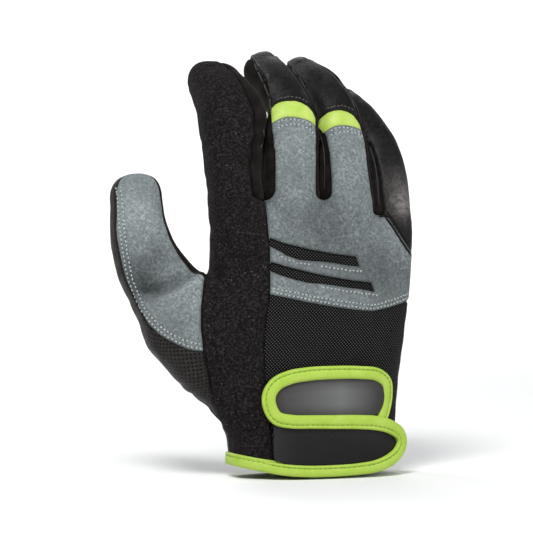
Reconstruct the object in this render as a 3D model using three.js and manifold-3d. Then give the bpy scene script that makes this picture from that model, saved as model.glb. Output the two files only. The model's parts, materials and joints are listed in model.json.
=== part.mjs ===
// A slide glove for the right hand, filled out as a hand fills it: fingers up (+Z), palm to +Y, thumb to -X.
// Millimetres. The origin is the middle of the wrist opening, at the height of the hem's lowest point.
import * as THREE from "three";
import { mergeVertices } from "three/addons/utils/BufferGeometryUtils.js";
import Module from "manifold-3d";

const wasm = await Module();
wasm.setup();

// Driving dimensions
const palmWidth = 104;
const palmHeight = 137; // hem to the crotches of the fingers
const backDepth = 19; // from the hand's middle plane to the back
const palmDepth = 18; // from the hand's middle plane to the palm
const hemRise = 6; // how much higher the hem is at the sides of the wrist
const wall = 1.6;
const seamGap = 0.36; // between panels
const restGap = 0.3; // between a piece and the one that it lies on
const hemDrop = 1.6; // how far the hem's lowest point is below the frame's origin
const bindingHeight = 6.6;
const bindingThickness = 1.1; // of each of the two plies that fold over the hem
const strapBinding = 6.4; // width of the lime edge of the tabs
const strapProud = 0.5; // how far that edge stands out past the tabs
const ovalLength = 71;
const ovalHeight = 31;
const tabLength = 75;
const tabHeight = 29.5;
const tabCorner = 12.5;
const tabThickness = 2.4;
const strapReach = 1.6; // how much wider than the wrist the tabs are
const strapBend = 0.8; // share of the half width at which the tabs leave the wrist's curve and go on straight
const bandWidth = 9; // lime knuckle bands, at their middle
const slotHeight = 4.4; // vent slots in the knuckle panel
const puckWidth = 86;
const puckHeight = 130;
const puckThickness = 17;
const puckCorner = 23;
const puckEdge = 8; // radius of the puck's worn rim
const puckTilt = 5; // degrees
const puckFoot = 14; // height of the puck's lower edge
const puckMiddle = 0.06; // share of palmWidth that its middle is off the hand's
const padThickness = 2;
const padInset = 3; // how far the hook pad stays inside the puck's rim
const webDrop = 2; // how far the web between two fingers goes down, up, and to each side of the middle plane
const webRise = 6;
const webDepth = 8;
const webShare = 0.3; // share of each finger's width that the web reaches into
const hemCutter = 6; // how far the cutter that frees the hem stands out past the skin

// Digits: where each starts, its size, and how far its tip goes forward and sideways
const fingers = [
  { name: "index", root: -0.372, start: 0.81, rise: 86, reach: 33,
    splay: -6, lean: 1, width: 28.8, depth: 25 },
  { name: "middle", root: -0.106, start: 0.82, rise: 90, reach: 38,
    splay: 0.5, lean: -6, width: 27.4, depth: 25.4 },
  { name: "ring", root: 0.168, start: 0.82, rise: 88, reach: 41,
    splay: 1, lean: -12, width: 26.6, depth: 25 },
  { name: "pinky", root: 0.39, start: 0.74, rise: 84, reach: 37,
    splay: 0, lean: -11.5, width: 21.8, depth: 22.6 },
];
const thumb = {
  name: "thumb", root: -0.29, start: 0.365, rise: 87.5, reach: 17,
  out: -59.5, width: 26.6, depth: 26,
};

// Sections of the hand up from the hem. up is a share of palmHeight, middle and width of palmWidth,
// back of backDepth, palm of palmDepth, and hem of hemRise.
const handRows = [
  { up: -0.012, middle: -0.005, width: 0.845, back: 1.08, palm: 1.05, hem: 1 },
  { up: 0.045, middle: -0.006, width: 0.845, back: 1.07, palm: 1.03, hem: 0.9 },
  { up: 0.13, middle: -0.02, width: 0.87, back: 1.06, palm: 1, hem: 0.5 },
  { up: 0.21, middle: -0.06, width: 0.95, back: 1.06, palm: 1, hem: 0 },
  { up: 0.3, middle: -0.083, width: 1.01, back: 1.06, palm: 1, hem: 0 },
  { up: 0.4, middle: -0.07, width: 1.02, back: 1.05, palm: 1, hem: 0 },
  { up: 0.57, middle: -0.036, width: 1.02, back: 1.01, palm: 1, hem: 0 },
  { up: 0.72, middle: -0.02, width: 1.02, back: 0.98, palm: 1, hem: 0 },
  { up: 0.83, middle: -0.015, width: 1.02, back: 0.93, palm: 0.97, hem: 0 },
  { up: 0.895, middle: -0.022, width: 0.99, back: 0.86, palm: 0.88, hem: 0 },
  { up: 0.945, middle: -0.07, width: 0.83, back: 0.72, palm: 0.74, hem: 0 },
  { up: 0.98, middle: -0.12, width: 0.66, back: 0.48, palm: 0.5, hem: 0 },
];
const squareBack = 2.4; // exponent of the section: 2 is an ellipse, more is squarer
const squarePalm = 3.6;
const squareStrap = 2.6;
const handSides = 24;

// How a finger's centreline curls. along, forward and lean are shares of its rise, reach and lean,
// and width and depth of its own width and depth.
const curl = [
  { along: 0, forward: 0, lean: 0, width: 0.84, depth: 1.28 },
  { along: 0.2, forward: 0, lean: 0, width: 1, depth: 1.28 },
  { along: 0.36, forward: 0.045, lean: 0, width: 1.01, depth: 1.14 },
  { along: 0.54, forward: 0.13, lean: 0.02, width: 1, depth: 1.04 },
  { along: 0.7, forward: 0.28, lean: 0.14, width: 1, depth: 1 },
  { along: 0.84, forward: 0.5, lean: 0.42, width: 0.95, depth: 0.97 },
  { along: 0.94, forward: 0.76, lean: 0.76, width: 0.88, depth: 0.92 },
  { along: 1, forward: 1, lean: 1, width: 0.82, depth: 0.86 },
];
// The thumb's: out, along and forward are shares of its out, rise and reach.
const thumbCurl = [
  { along: 0, out: 0, forward: 0, width: 1.5, depth: 1.1 },
  { along: 0.18, out: 0.36, forward: 0.1, width: 2.1, depth: 1.32 },
  { along: 0.325, out: 0.595, forward: 0.3, width: 1.9, depth: 1.36 },
  { along: 0.46, out: 0.77, forward: 0.5, width: 1.45, depth: 1.24 },
  { along: 0.64, out: 0.92, forward: 0.7, width: 1.24, depth: 1.12 },
  { along: 0.83, out: 0.99, forward: 0.88, width: 1.06, depth: 1.03 },
  { along: 1, out: 1, forward: 1, width: 0.95, depth: 0.94 },
];
const squareDigit = 2.5;
const digitSides = 10;
const tipRows = [0.42, 0.74, 0.94]; // the rounded tip's sections, as shares of a quarter turn
const cutterReach = 1.18; // how far out a digit's cutters go, in half widths

// Seams of a digit, in degrees from the middle of its back towards +X
const backSeam = 48;
const backSeamLeft = 60;
const indexSeam = 34;
const palmSeam = 126;
const indexSideSeam = -108;
const pinkySideSeam = 104;
const thumbSeams = { outer: -78, back: 50, inner: 78, palm: 186 };
// Shares of a finger's rows at which its panels start
const sideStart = 0.2;
const padStart = 0.66;
const suedeStart = 0.1;
const thumbStart = 0.1;
const bandStart = 0.3;

// Seams in the back of the hand: across is a share of palmWidth, up of palmHeight.
const fleeceEdge = -0.296;
const fleeceFoot = -0.272;
const backSeamY = -6; // the side seam of the back panels
const fleeceSeamY = 2;
const kneeLine = [
  { across: -0.285, up: 0.664 },
  { across: -0.125, up: 0.637 },
  { across: 0.027, up: 0.62 },
  { across: 0.178, up: 0.6 },
  { across: 0.238, up: 0.595 },
  { across: 0.33, up: 0.607 },
  { across: 0.6, up: 0.64 },
];
const pinkyLine = [
  { across: 0.275, up: 1.0 },
  { across: 0.36, up: 0.9 },
  { across: 0.47, up: 0.795 },
  { across: 0.6, up: 0.7 },
];
// The vent slots' middle lines
const upperSlot = [
  { across: -0.3, up: 0.846 },
  { across: -0.03, up: 0.809 },
  { across: 0.15, up: 0.775 },
];
const lowerSlot = [
  { across: -0.3, up: 0.768 },
  { across: -0.03, up: 0.723 },
  { across: 0.232, up: 0.682 },
];
// The knuckle bands' lower edges on the fingers' backs, and how high each is in the middle and at its
// right end
const middleBand = { finger: "middle", left: 1.28, middle: 1.305, right: 1.27 };
const ringBand = { finger: "ring", left: 1.25, middle: 1.27, right: 1.235 };
// The thumb's seams in the back view
const thenarLine = [
  { across: -1.1, up: 0.66 },
  { across: -0.93, up: 0.625 },
  { across: -0.84, up: 0.56 },
  { across: -0.7, up: 0.49 },
  { across: -0.585, up: 0.455 },
];
const webTop = 0.74;
const thumbSeamX = -0.565;
const thumbSeamFoot = -0.5;

// Geometry helpers

// A closed surface through rings of points. Each ring has the same number of points, outline is the ring's
// flat shape for its two end faces.
function skin(rings, outline) {
  const count = outline.length;
  const points = rings.flat();
  const index = [];
  for (let row = 0; row + 1 < rings.length; row++) {
    for (let i = 0; i < count; i++) {
      const a = row * count + i;
      const b = row * count + ((i + 1) % count);
      index.push(a, b, b + count, a, b + count, a + count);
    }
  }
  const last = (rings.length - 1) * count;
  for (const [a, b, c] of THREE.ShapeUtils.triangulateShape(outline, [])) {
    index.push(a, c, b, last + a, last + b, last + c);
  }
  const geometry = new THREE.BufferGeometry().setFromPoints(points);
  geometry.setIndex(index);
  return solidOf(geometry);
}

// A three.js geometry as a solid that can be joined and cut
function solidOf(geometry) {
  const bare = geometry.index ? geometry.toNonIndexed() : geometry.clone();
  bare.deleteAttribute("normal");
  bare.deleteAttribute("uv");
  const merged = mergeVertices(bare, 1e-3);
  const solid = new wasm.Manifold(
    new wasm.Mesh({
      numProp: 3,
      vertProperties: new Float32Array(merged.attributes.position.array),
      triVerts: new Uint32Array(merged.index.array),
    }),
  );
  return solid;
}

function geometryOf(solid) {
  const mesh = solid.getMesh();
  const position = new Float32Array(mesh.numVert * 3);
  for (let i = 0; i < mesh.numVert; i++) {
    position.set(mesh.vertProperties.subarray(i * mesh.numProp, i * mesh.numProp + 3), i * 3);
  }
  const geometry = new THREE.BufferGeometry();
  geometry.setAttribute("position", new THREE.BufferAttribute(position, 3));
  geometry.setIndex(new THREE.BufferAttribute(new Uint32Array(mesh.triVerts), 1));
  geometry.computeVertexNormals();
  return geometry;
}

// The one point of a superellipse section in the direction of a turn
function superellipse(turn, halfWidth, halfDepth, exponent) {
  const c = Math.cos(turn);
  const s = Math.sin(turn);
  return new THREE.Vector2(
    halfWidth * Math.sign(c) * Math.abs(c) ** (2 / exponent),
    halfDepth * Math.sign(s) * Math.abs(s) ** (2 / exponent),
  );
}

// An outline moved outwards by a distance, its corners mitred. Outlines run anticlockwise.
function grown(outline, distance) {
  return outline.map((point, i) => {
    const before = outline[(i + outline.length - 1) % outline.length];
    const after = outline[(i + 1) % outline.length];
    const into = point.clone().sub(before).normalize();
    const out = after.clone().sub(point).normalize();
    const normal = new THREE.Vector2(into.y + out.y, -into.x - out.x);
    const stretch = Math.max(0.35, normal.length() / 2);
    return point.clone().add(normal.normalize().multiplyScalar(distance / stretch));
  });
}

// A flat outline in x and z, made solid between two depths in y
function prism(outline, low, high) {
  const shape = new THREE.Shape(outline);
  const depth = high - low;
  const geometry = new THREE.ExtrudeGeometry(shape, { depth, bevelEnabled: false });
  geometry.rotateX(Math.PI / 2);
  geometry.translate(0, high, 0);
  return solidOf(geometry);
}

// The hand and its digits

// A ring of the hand's skin, moved out by a distance, at a height over the hem
function handRing(row, offset, height, square = squareBack) {
  const halfWidth = (row.width * palmWidth) / 2 + offset;
  const ring = [];
  for (let i = 0; i < handSides; i++) {
    const turn = (i / handSides) * 2 * Math.PI;
    const onPalm = Math.sin(turn) > 0;
    const halfDepth = (onPalm ? row.palm * palmDepth : row.back * backDepth) + offset;
    const p = superellipse(turn, halfWidth, halfDepth, onPalm ? squarePalm : square);
    const rise = row.hem * hemRise * (p.x / (halfWidth - offset)) ** 2;
    ring.push(new THREE.Vector3(p.x + row.middle * palmWidth, p.y, height + rise));
  }
  return ring;
}

// The hand's outer surface moved out by a distance, or in if it is negative. It goes on below the hem by
// a drop.
function handBody(offset, drop = 0) {
  const top = handRows.length - 1;
  const rings = handRows.map((row, level) => {
    const cap = THREE.MathUtils.clamp((level - top + 3) / 3, 0, 1);
    return handRing(row, offset, row.up * palmHeight + offset * cap - (level === 0 ? drop : 0));
  });
  return skin(rings, rings[0].map((p) => new THREE.Vector2(p.x, p.y)));
}

function fingerCentres(finger) {
  return curl.map(
    (row) =>
      new THREE.Vector3(
        finger.root * palmWidth + finger.splay * row.along + finger.lean * row.lean,
        finger.reach * row.forward,
        finger.start * palmHeight + finger.rise * row.along,
      ),
  );
}

function thumbCentres() {
  return thumbCurl.map(
    (row) =>
      new THREE.Vector3(
        thumb.root * palmWidth + thumb.out * row.out,
        thumb.reach * row.forward,
        thumb.start * palmHeight + thumb.rise * row.along,
      ),
  );
}

// Stations along a digit: a place, three directions, and the half width and half depth there
function stationsOf(digit) {
  const table = digit === thumb ? thumbCurl : curl;
  const centres = digit === thumb ? thumbCentres() : fingerCentres(digit);
  const path = new THREE.CatmullRomCurve3(centres, false, "catmullrom", 0.5);
  return table.map((row, i) => {
    const ahead = path.getTangent(i / (table.length - 1));
    const across = new THREE.Vector3(ahead.z, 0, -ahead.x).normalize();
    const palmward = new THREE.Vector3().crossVectors(ahead, across).normalize();
    return {
      at: centres[i],
      ahead,
      across,
      palmward,
      halfWidth: (row.width * digit.width) / 2,
      halfDepth: (row.depth * digit.depth) / 2,
    };
  });
}

function placed(station, ahead, across, palmward) {
  return station.at
    .clone()
    .addScaledVector(station.ahead, ahead)
    .addScaledVector(station.across, across)
    .addScaledVector(station.palmward, palmward);
}

// A digit's outer surface with its rounded tip, moved out by a distance
function digitBody(digit, offset) {
  const stations = stationsOf(digit);
  const turns = Array.from({ length: digitSides }, (_, i) => ((i + 0.5) / digitSides) * 2 * Math.PI);
  const ringAt = (station, share, ahead) =>
    turns.map((turn) => {
      const halfWidth = (station.halfWidth + offset) * share;
      const halfDepth = (station.halfDepth + offset) * share;
      const p = superellipse(turn, halfWidth, halfDepth, squareDigit);
      return placed(station, ahead, p.x, p.y);
    });
  const end = stations[stations.length - 1];
  const tipLength = end.halfWidth + offset;
  const rings = stations.map((station) => ringAt(station, 1, 0));
  for (const share of tipRows) {
    const turn = (share * Math.PI) / 2;
    rings.push(ringAt(end, Math.cos(turn) ** 0.8, tipLength * Math.sin(turn)));
  }
  return skin(rings, turns.map((turn) => superellipse(turn, 1, 1, squareDigit)));
}

// The wedge of a digit between two directions, in degrees from the back of the digit towards +X, and
// between two shares of its length. It is grown on every side by a distance.
function wedge(digit, fromDegrees, toDegrees, from, to, grow) {
  const stations = stationsOf(digit);
  const rowShare = 1 / (stations.length - 1);
  const far = cutterReach;
  const steps = Math.max(2, Math.ceil((toDegrees - fromDegrees) / 30));
  const flat = [new THREE.Vector2(0, 0)];
  for (let i = 0; i <= steps; i++) {
    const turn = THREE.MathUtils.degToRad(fromDegrees + ((toDegrees - fromDegrees) * i) / steps);
    flat.push(new THREE.Vector2(far * Math.sin(turn), -far * Math.cos(turn)));
  }
  const cuts = [from];
  stations.forEach((_, i) => {
    if (i * rowShare > from + 0.02 && i * rowShare < to - 0.02) cuts.push(i * rowShare);
  });
  cuts.push(to);
  const rings = cuts.map((cut, i) => {
    const station = stationAt(stations, Math.min(cut, 1));
    const past = Math.max(0, cut - 1) * digit.rise;
    const shift = (i === 0 ? -grow : 0) + (i === cuts.length - 1 ? grow : 0);
    const outline = flat.map((p) => new THREE.Vector2(p.x * station.halfWidth, p.y * station.halfDepth));
    return grown(outline, grow).map((p) => placed(station, past + shift, p.x, p.y));
  });
  return skin(rings, flat);
}

function stationAt(stations, share) {
  const place = share * (stations.length - 1);
  const i = Math.min(Math.floor(place), stations.length - 2);
  const t = place - i;
  const a = stations[i];
  const b = stations[i + 1];
  const mix = (key) => a[key].clone().lerp(b[key], t);
  const number = (key) => a[key] + (b[key] - a[key]) * t;
  return {
    at: mix("at"),
    ahead: mix("ahead").normalize(),
    across: mix("across").normalize(),
    palmward: mix("palmward").normalize(),
    halfWidth: number("halfWidth"),
    halfDepth: number("halfDepth"),
  };
}

// Points of the back view: across is a share of palmWidth, up of palmHeight.
function backPoints(rows) {
  return rows.map((row) => new THREE.Vector2(row.across * palmWidth, row.up * palmHeight));
}

function anticlockwise(outline) {
  return THREE.ShapeUtils.isClockWise(outline) ? outline.slice().reverse() : outline;
}

// An outline of the back view cut through from one depth to another, grown by a distance
function through(outline, low, high, grow) {
  return prism(grown(anticlockwise(outline), grow), low, high + grow);
}

const digits = [...fingers, thumb];
const [index, middle, ring, pinky] = fingers;
const fullTurn = 360;
const pastTip = 1.4; // share of a digit's rows that its cutters run to
const hollowDrop = 10; // how far the hollow runs on below the hem
const farBack = -70;
const farPalm = 90;
const below = -30;
const above = 260;

const withDigits = (hand, offset) => digits.reduce((sum, digit) => sum.add(digitBody(digit, offset)), hand);
const handOutside = (offset) => withDigits(handBody(offset), offset);
const inside = withDigits(handBody(-wall, hollowDrop), -wall);
const outside = handOutside(0);
const shell = outside.subtract(inside);

// A strip around a line of the back view, with a round end
function slotOutline(rows, height) {
  const line = backPoints(rows);
  const upper = line.map((p) => new THREE.Vector2(p.x, p.y + height / 2));
  const lower = line.map((p) => new THREE.Vector2(p.x, p.y - height / 2));
  const end = line[line.length - 1];
  const nose = new THREE.Vector2(end.x + height * 0.7, end.y - height * 0.45);
  return [...lower, nose, ...upper.reverse()];
}

// A knuckle band in the back view: a crescent across a finger, pointed at its right end
function bandOutline(band) {
  const finger = fingers.find((one) => one.name === band.finger);
  const centre = finger.root * palmWidth + finger.lean * 0.25;
  const half = finger.width * 0.75;
  const rows = [
    new THREE.Vector2(centre - half, band.left * palmHeight),
    new THREE.Vector2(centre - half * 0.1, band.middle * palmHeight),
    new THREE.Vector2(centre + half, band.right * palmHeight),
  ];
  return [
    ...rows,
    new THREE.Vector2(centre + half, band.right * palmHeight + bandWidth * 0.2),
    new THREE.Vector2(centre + half * 0.35, band.middle * palmHeight + bandWidth * 0.72),
    new THREE.Vector2(centre - half * 0.1, band.middle * palmHeight + bandWidth),
    new THREE.Vector2(centre - half, band.left * palmHeight + bandWidth),
  ];
}

// The part of a finger's back that is above the lower edge of its band
function aboveBand(band) {
  const rows = bandOutline(band).slice(0, 3);
  return [
    ...rows,
    new THREE.Vector2(rows[2].x, above),
    new THREE.Vector2(rows[0].x, above),
  ];
}

function fingerBack(finger, from, grow) {
  return wedge(finger, -backSeamLeft, backSeam, from, pastTip, grow);
}

// The two facing sides of neighbouring fingers, and the web between them
function fourchette(left, right, grow) {
  const leftSide = wedge(left, left === index ? indexSeam : backSeam, palmSeam, sideStart, pastTip, grow);
  const rightSide = wedge(right, -palmSeam, -backSeamLeft, sideStart, pastTip, grow);
  const a = placed(stationAt(stationsOf(left), sideStart), 0, left.width * webShare, 0);
  const b = placed(stationAt(stationsOf(right), sideStart), 0, -right.width * webShare, 0);
  const low = Math.min(a.z, b.z) - webDrop;
  const high = Math.max(a.z, b.z) + webRise;
  const web = [
    new THREE.Vector2(a.x, low),
    new THREE.Vector2(b.x, low),
    new THREE.Vector2(b.x, high),
    new THREE.Vector2(a.x, high),
  ];
  return leftSide.add(rightSide).add(through(web, -webDepth - grow, webDepth, grow));
}

function fingerPad(finger, grow) {
  return wedge(finger, palmSeam, fullTurn - palmSeam, padStart, pastTip, grow);
}

const fleeceOutline = [
  ...backPoints([
    { across: fleeceEdge, up: 1 },
    { across: fleeceEdge, up: 0.5 },
    { across: fleeceFoot, up: 0.1 },
    { across: fleeceFoot, up: -0.2 },
    { across: -1, up: -0.2 },
    { across: -1, up: 1 },
  ]),
];
const kneeOutline = [
  ...backPoints([...kneeLine, { across: 0.6, up: 1.02 }, { across: -0.32, up: 1.02 }]),
];
const pinkyOutline = [
  ...backPoints([...pinkyLine, { across: 0.9, up: 0.7 }, { across: 0.9, up: 1 }]),
];
const thumbBackOutline = [
  ...backPoints([
    ...thenarLine,
    { across: thumbSeamX, up: 0.455 },
    { across: thumbSeamX, up: webTop },
    { across: thumbSeamX, up: 2 },
    { across: -1.1, up: 2 },
  ]),
];
const thumbInnerOutline = [
  ...backPoints([
    { across: thumbSeamX, up: 0.6 },
    { across: thumbSeamX, up: 2 },
    { across: -1.1, up: 2 },
    { across: -1.1, up: 0.7 },
  ]),
];
const thumbOutline = [
  ...backPoints([
    { across: thumbSeamX, up: 2 },
    { across: thumbSeamX, up: 0.4 },
    { across: thumbSeamFoot, up: 0.2 },
    { across: thumbSeamFoot, up: 0.1 },
    { across: -1.4, up: 0.1 },
    { across: -1.4, up: 2 },
  ]),
];

function onThumb(from, to, outline, grow) {
  const sector = wedge(thumb, from, to, thumbStart, pastTip, grow);
  return sector.intersect(through(outline, farBack, farPalm, grow));
}

function hemRing(offset, heights) {
  const rowAt = (up) => {
    const i = Math.max(1, handRows.findIndex((row) => row.up >= up));
    const [a, b] = [handRows[i - 1], handRows[i]];
    const t = (up - a.up) / (b.up - a.up);
    const between = (key) => a[key] + (b[key] - a[key]) * t;
    return Object.fromEntries(Object.keys(a).map((key) => [key, between(key)]));
  };
  const lowest = handRows[0].up;
  const rings = heights.map((z) => handRing(rowAt(Math.max(lowest, z / palmHeight)), offset, z));
  return skin(rings, rings[0].map((p) => new THREE.Vector2(p.x, p.y)));
}

// Regions of the glove's skin in the order in which they are cut. Each is grown by a distance.
const regions = [
  ["hem", (grow) => hemRing(hemCutter, [below, -hemDrop, bindingHeight - hemDrop + grow])],
  ["vent_mesh_upper", (grow) => through(slotOutline(upperSlot, slotHeight), farBack, 0, grow)
    .subtract(through(fleeceOutline, farBack - 9, 9, -grow))],
  ["vent_mesh_lower", (grow) => through(slotOutline(lowerSlot, slotHeight), farBack, 0, grow)
    .subtract(through(fleeceOutline, farBack - 9, 9, -grow))],
  ["middle_knuckle_band", (grow) => fingerBack(middle, bandStart, grow)
    .intersect(through(bandOutline(middleBand), farBack, farPalm, grow))],
  ["ring_knuckle_band", (grow) => fingerBack(ring, bandStart, grow)
    .intersect(through(bandOutline(ringBand), farBack, farPalm, grow))],
  ["middle_tip_back", (grow) => fingerBack(middle, bandStart, grow)
    .intersect(through(aboveBand(middleBand), farBack, farPalm, grow))],
  ["ring_tip_back", (grow) => fingerBack(ring, bandStart, grow)
    .intersect(through(aboveBand(ringBand), farBack, farPalm, grow))],
  ["fourchette_index_middle", (grow) => fourchette(index, middle, grow)],
  ["fourchette_middle_ring", (grow) => fourchette(middle, ring, grow)],
  ["fourchette_ring_pinky", (grow) => fourchette(ring, pinky, grow)],
  ["index_pad", (grow) => fingerPad(index, grow)],
  ["middle_pad", (grow) => fingerPad(middle, grow)],
  ["ring_pad", (grow) => fingerPad(ring, grow)],
  ["pinky_pad", (grow) => fingerPad(pinky, grow)],
  ["thumb_back_panel", (grow) => onThumb(thumbSeams.outer, thumbSeams.back, thumbBackOutline, grow)],
  ["thumb_inner_strip", (grow) => onThumb(thumbSeams.back, thumbSeams.inner, thumbBackOutline, grow)],
  ["thumb_inner_panel", (grow) => onThumb(thumbSeams.inner, thumbSeams.palm, thumbInnerOutline, grow)],
  ["thumb_palm", (grow) => through(thumbOutline, farBack, farPalm, grow)],
  ["index_back_panel", (grow) => wedge(index, indexSideSeam, indexSeam, suedeStart, pastTip, grow)
    .add(through(fleeceOutline, farBack, fleeceSeamY, grow))],
  ["pinky_back_panel", (grow) => wedge(pinky, -backSeamLeft, pinkySideSeam, sideStart, pastTip, grow)
    .add(through(pinkyOutline, farBack, backSeamY, grow))],
  ["knuckle_panel", (grow) => through(kneeOutline, farBack, backSeamY, grow)
    .add(fingerBack(middle, suedeStart, grow))
    .add(fingerBack(ring, suedeStart, grow))],
  ["back_mesh_panel", (grow) => through(backPoints([
    { across: fleeceEdge - 0.1, up: -0.2 },
    { across: 0.8, up: -0.2 },
    { across: 0.8, up: 0.7 },
    { across: fleeceEdge - 0.1, up: 0.7 },
  ]), farBack, backSeamY, grow)],
];

const pieces = new Map();
let left = shell;
for (const [name, region] of regions) {
  if (name !== "hem") pieces.set(name, left.intersect(region(-seamGap / 2)));
  left = left.subtract(region(name === "hem" ? restGap : seamGap / 2));
}
pieces.set("palm_panel", left);

// The hem's binding folds over the panels' edges
const hemOuter = hemRing(bindingThickness, [-hemDrop, bindingHeight - hemDrop]);
const hemInner = hemRing(-wall - bindingThickness, [below, -hemDrop, bindingHeight - hemDrop, -below]);
pieces.set("hem_binding", hemOuter.subtract(hemInner));

// A ring of the tabs' surface. Beyond the bend it goes on straight, along the curve's own slope there.
function strapRing(row, offset, height) {
  const wider = { ...row, width: row.width + (2 * strapReach) / palmWidth };
  const halfWidth = (wider.width * palmWidth) / 2 + offset;
  const halfDepth = row.back * backDepth + offset;
  const depthAtBend = (1 - strapBend ** squareStrap) ** (1 / squareStrap);
  const slope = strapBend ** (squareStrap - 1) * (1 - strapBend ** squareStrap) ** (1 / squareStrap - 1);
  return handRing(wider, offset, height, squareStrap).map((p) => {
    const share = Math.abs(p.x - row.middle * palmWidth) / halfWidth;
    if (p.y < -1 && share > strapBend) p.y = -halfDepth * (depthAtBend - slope * (share - strapBend));
    return p;
  });
}

// The closure: an oval tab over a lower tab, both with one lime edge that runs on along the hem
function strapSkin(offset) {
  const rows = handRows.slice(0, 7);
  const rings = rows.map((row, i) => strapRing(row, offset, row.up * palmHeight - (i === 0 ? 8 : 0)));
  return skin(rings, rings[0].map((p) => new THREE.Vector2(p.x, p.y)));
}

// A rectangle in the back view with a round right end, and a round left end too if it is asked for
function tabOutline(left, low, length, height, corner, roundLeft) {
  const right = left + length;
  const high = low + height;
  const turns = [0, 0.25, 0.5, 0.75, 1];
  const arc = (x, z, start) =>
    turns.map((t) => {
      const turn = start + (t * Math.PI) / 2;
      return new THREE.Vector2(x + corner * Math.cos(turn), z + corner * Math.sin(turn));
    });
  const quarter = Math.PI / 2;
  const rightEnd = [
    ...arc(right - corner, low + corner, -quarter),
    ...arc(right - corner, high - corner, 0),
  ];
  const squareEnd = [new THREE.Vector2(left, high), new THREE.Vector2(left, low)];
  const roundEnd = [
    ...arc(left + corner, high - corner, quarter),
    ...arc(left + corner, low + corner, 2 * quarter),
  ];
  const outline = [...rightEnd, ...(roundLeft ? roundEnd : squareEnd)];
  return outline.filter((point, i) => point.distanceTo(outline[(i + 1) % outline.length]) > 0.01);
}

const strapLeft = fleeceFoot * palmWidth;
const ovalLow = tabHeight - strapBinding;
const oval = tabOutline(strapLeft - strapBinding, ovalLow, ovalLength, ovalHeight, ovalHeight / 2, true);
const tab = tabOutline(strapLeft, -hemDrop, tabLength, tabHeight + hemDrop, tabCorner, false);
const ovalInset = grown(oval, -strapBinding);
const tabInset = tabOutline(
  strapLeft - 1,
  strapBinding - hemDrop,
  tabLength - strapBinding + 1,
  tabHeight + hemDrop - 2 * strapBinding,
  tabCorner - strapBinding * 0.7,
  false,
);
const strapLow = bindingThickness + restGap;
const strapBody = (low, thickness) => strapSkin(low + thickness).subtract(strapSkin(low));
const inset = strapBody(strapLow, tabThickness);
const edge = strapBody(strapLow, tabThickness + strapProud);
const strapSide = -2;
pieces.set("closure_tab", inset.intersect(through(ovalInset, farBack, strapSide, -seamGap / 2)));
pieces.set("wrist_tab", inset.intersect(through(tabInset, farBack, strapSide, -seamGap / 2)));
pieces.set(
  "strap_binding",
  edge
    .intersect(through(oval, farBack, strapSide, 0).add(through(tab, farBack, strapSide, 0)))
    .subtract(through(ovalInset, farBack - 9, 9, seamGap / 2))
    .subtract(through(tabInset, farBack - 9, 9, seamGap / 2)),
);

// The puck and the hook pad that holds it
const puckBase = palmDepth + restGap + padThickness + restGap;
const puckTurns = 5;

function puckOutline(inset) {
  const halfWidth = puckWidth / 2 - inset;
  const halfHeight = puckHeight / 2 - inset;
  const corner = puckCorner - inset * 0.8;
  const points = [];
  for (let side = 0; side < 4; side++) {
    const x = (side === 0 || side === 3 ? 1 : -1) * (halfWidth - corner);
    const z = (side < 2 ? 1 : -1) * (halfHeight - corner);
    for (let i = 0; i <= puckTurns; i++) {
      const turn = ((side + i / puckTurns) * Math.PI) / 2;
      points.push(new THREE.Vector2(x + corner * Math.cos(turn), z + corner * Math.sin(turn)));
    }
  }
  return points;
}

function puckRing(inset, height) {
  const turn = THREE.MathUtils.degToRad(-puckTilt);
  const middle = new THREE.Vector2(puckMiddle * palmWidth, puckFoot + puckHeight / 2);
  return puckOutline(inset).map((point) => {
    const p = point.clone().rotateAround(new THREE.Vector2(), turn).add(middle);
    return new THREE.Vector3(p.x, height, p.y);
  });
}

function plate(rows) {
  const rings = rows.map((row) => puckRing(row.inset, row.height).reverse());
  return skin(rings, rings[0].map((p) => new THREE.Vector2(p.x, -p.z)));
}

const rim = [0, 0.25, 0.5, 0.75, 1].map((t) => {
  const turn = (t * Math.PI) / 2;
  return {
    inset: puckEdge * (1 - Math.cos(turn)),
    height: puckBase + puckThickness - puckEdge + puckEdge * Math.sin(turn),
  };
});
pieces.set("puck", plate([{ inset: 1, height: puckBase }, { inset: 0, height: puckBase + 1 }, ...rim]));
const pad = plate([
  { inset: padInset, height: puckBase - restGap - padThickness },
  { inset: padInset, height: puckBase - restGap },
]);
pieces.set("puck_backing", pad.subtract(handOutside(restGap)));

const colours = {
  fleece: 0x252122,
  suede: 0x7d8686,
  lime: 0xb5d94c,
  mesh: 0x141416,
  leather: 0x2a2726,
  reflective: 0x55565a,
  puck: 0x2a2523,
};
const looks = {
  index_back_panel: { colour: "fleece", roughness: 0.95 },
  knuckle_panel: { colour: "suede", roughness: 0.95 },
  thumb_back_panel: { colour: "suede", roughness: 0.95 },
  thumb_inner_panel: { colour: "suede", roughness: 0.95 },
  vent_mesh_upper: { colour: "mesh", roughness: 0.8 },
  vent_mesh_lower: { colour: "mesh", roughness: 0.8 },
  back_mesh_panel: { colour: "mesh", roughness: 0.8 },
  middle_knuckle_band: { colour: "lime", roughness: 0.6 },
  ring_knuckle_band: { colour: "lime", roughness: 0.6 },
  hem_binding: { colour: "lime", roughness: 0.6 },
  strap_binding: { colour: "lime", roughness: 0.6 },
  closure_tab: { colour: "reflective", roughness: 0.4 },
  puck: { colour: "puck", roughness: 0.35 },
  puck_backing: { colour: "mesh", roughness: 0.9 },
};

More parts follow.
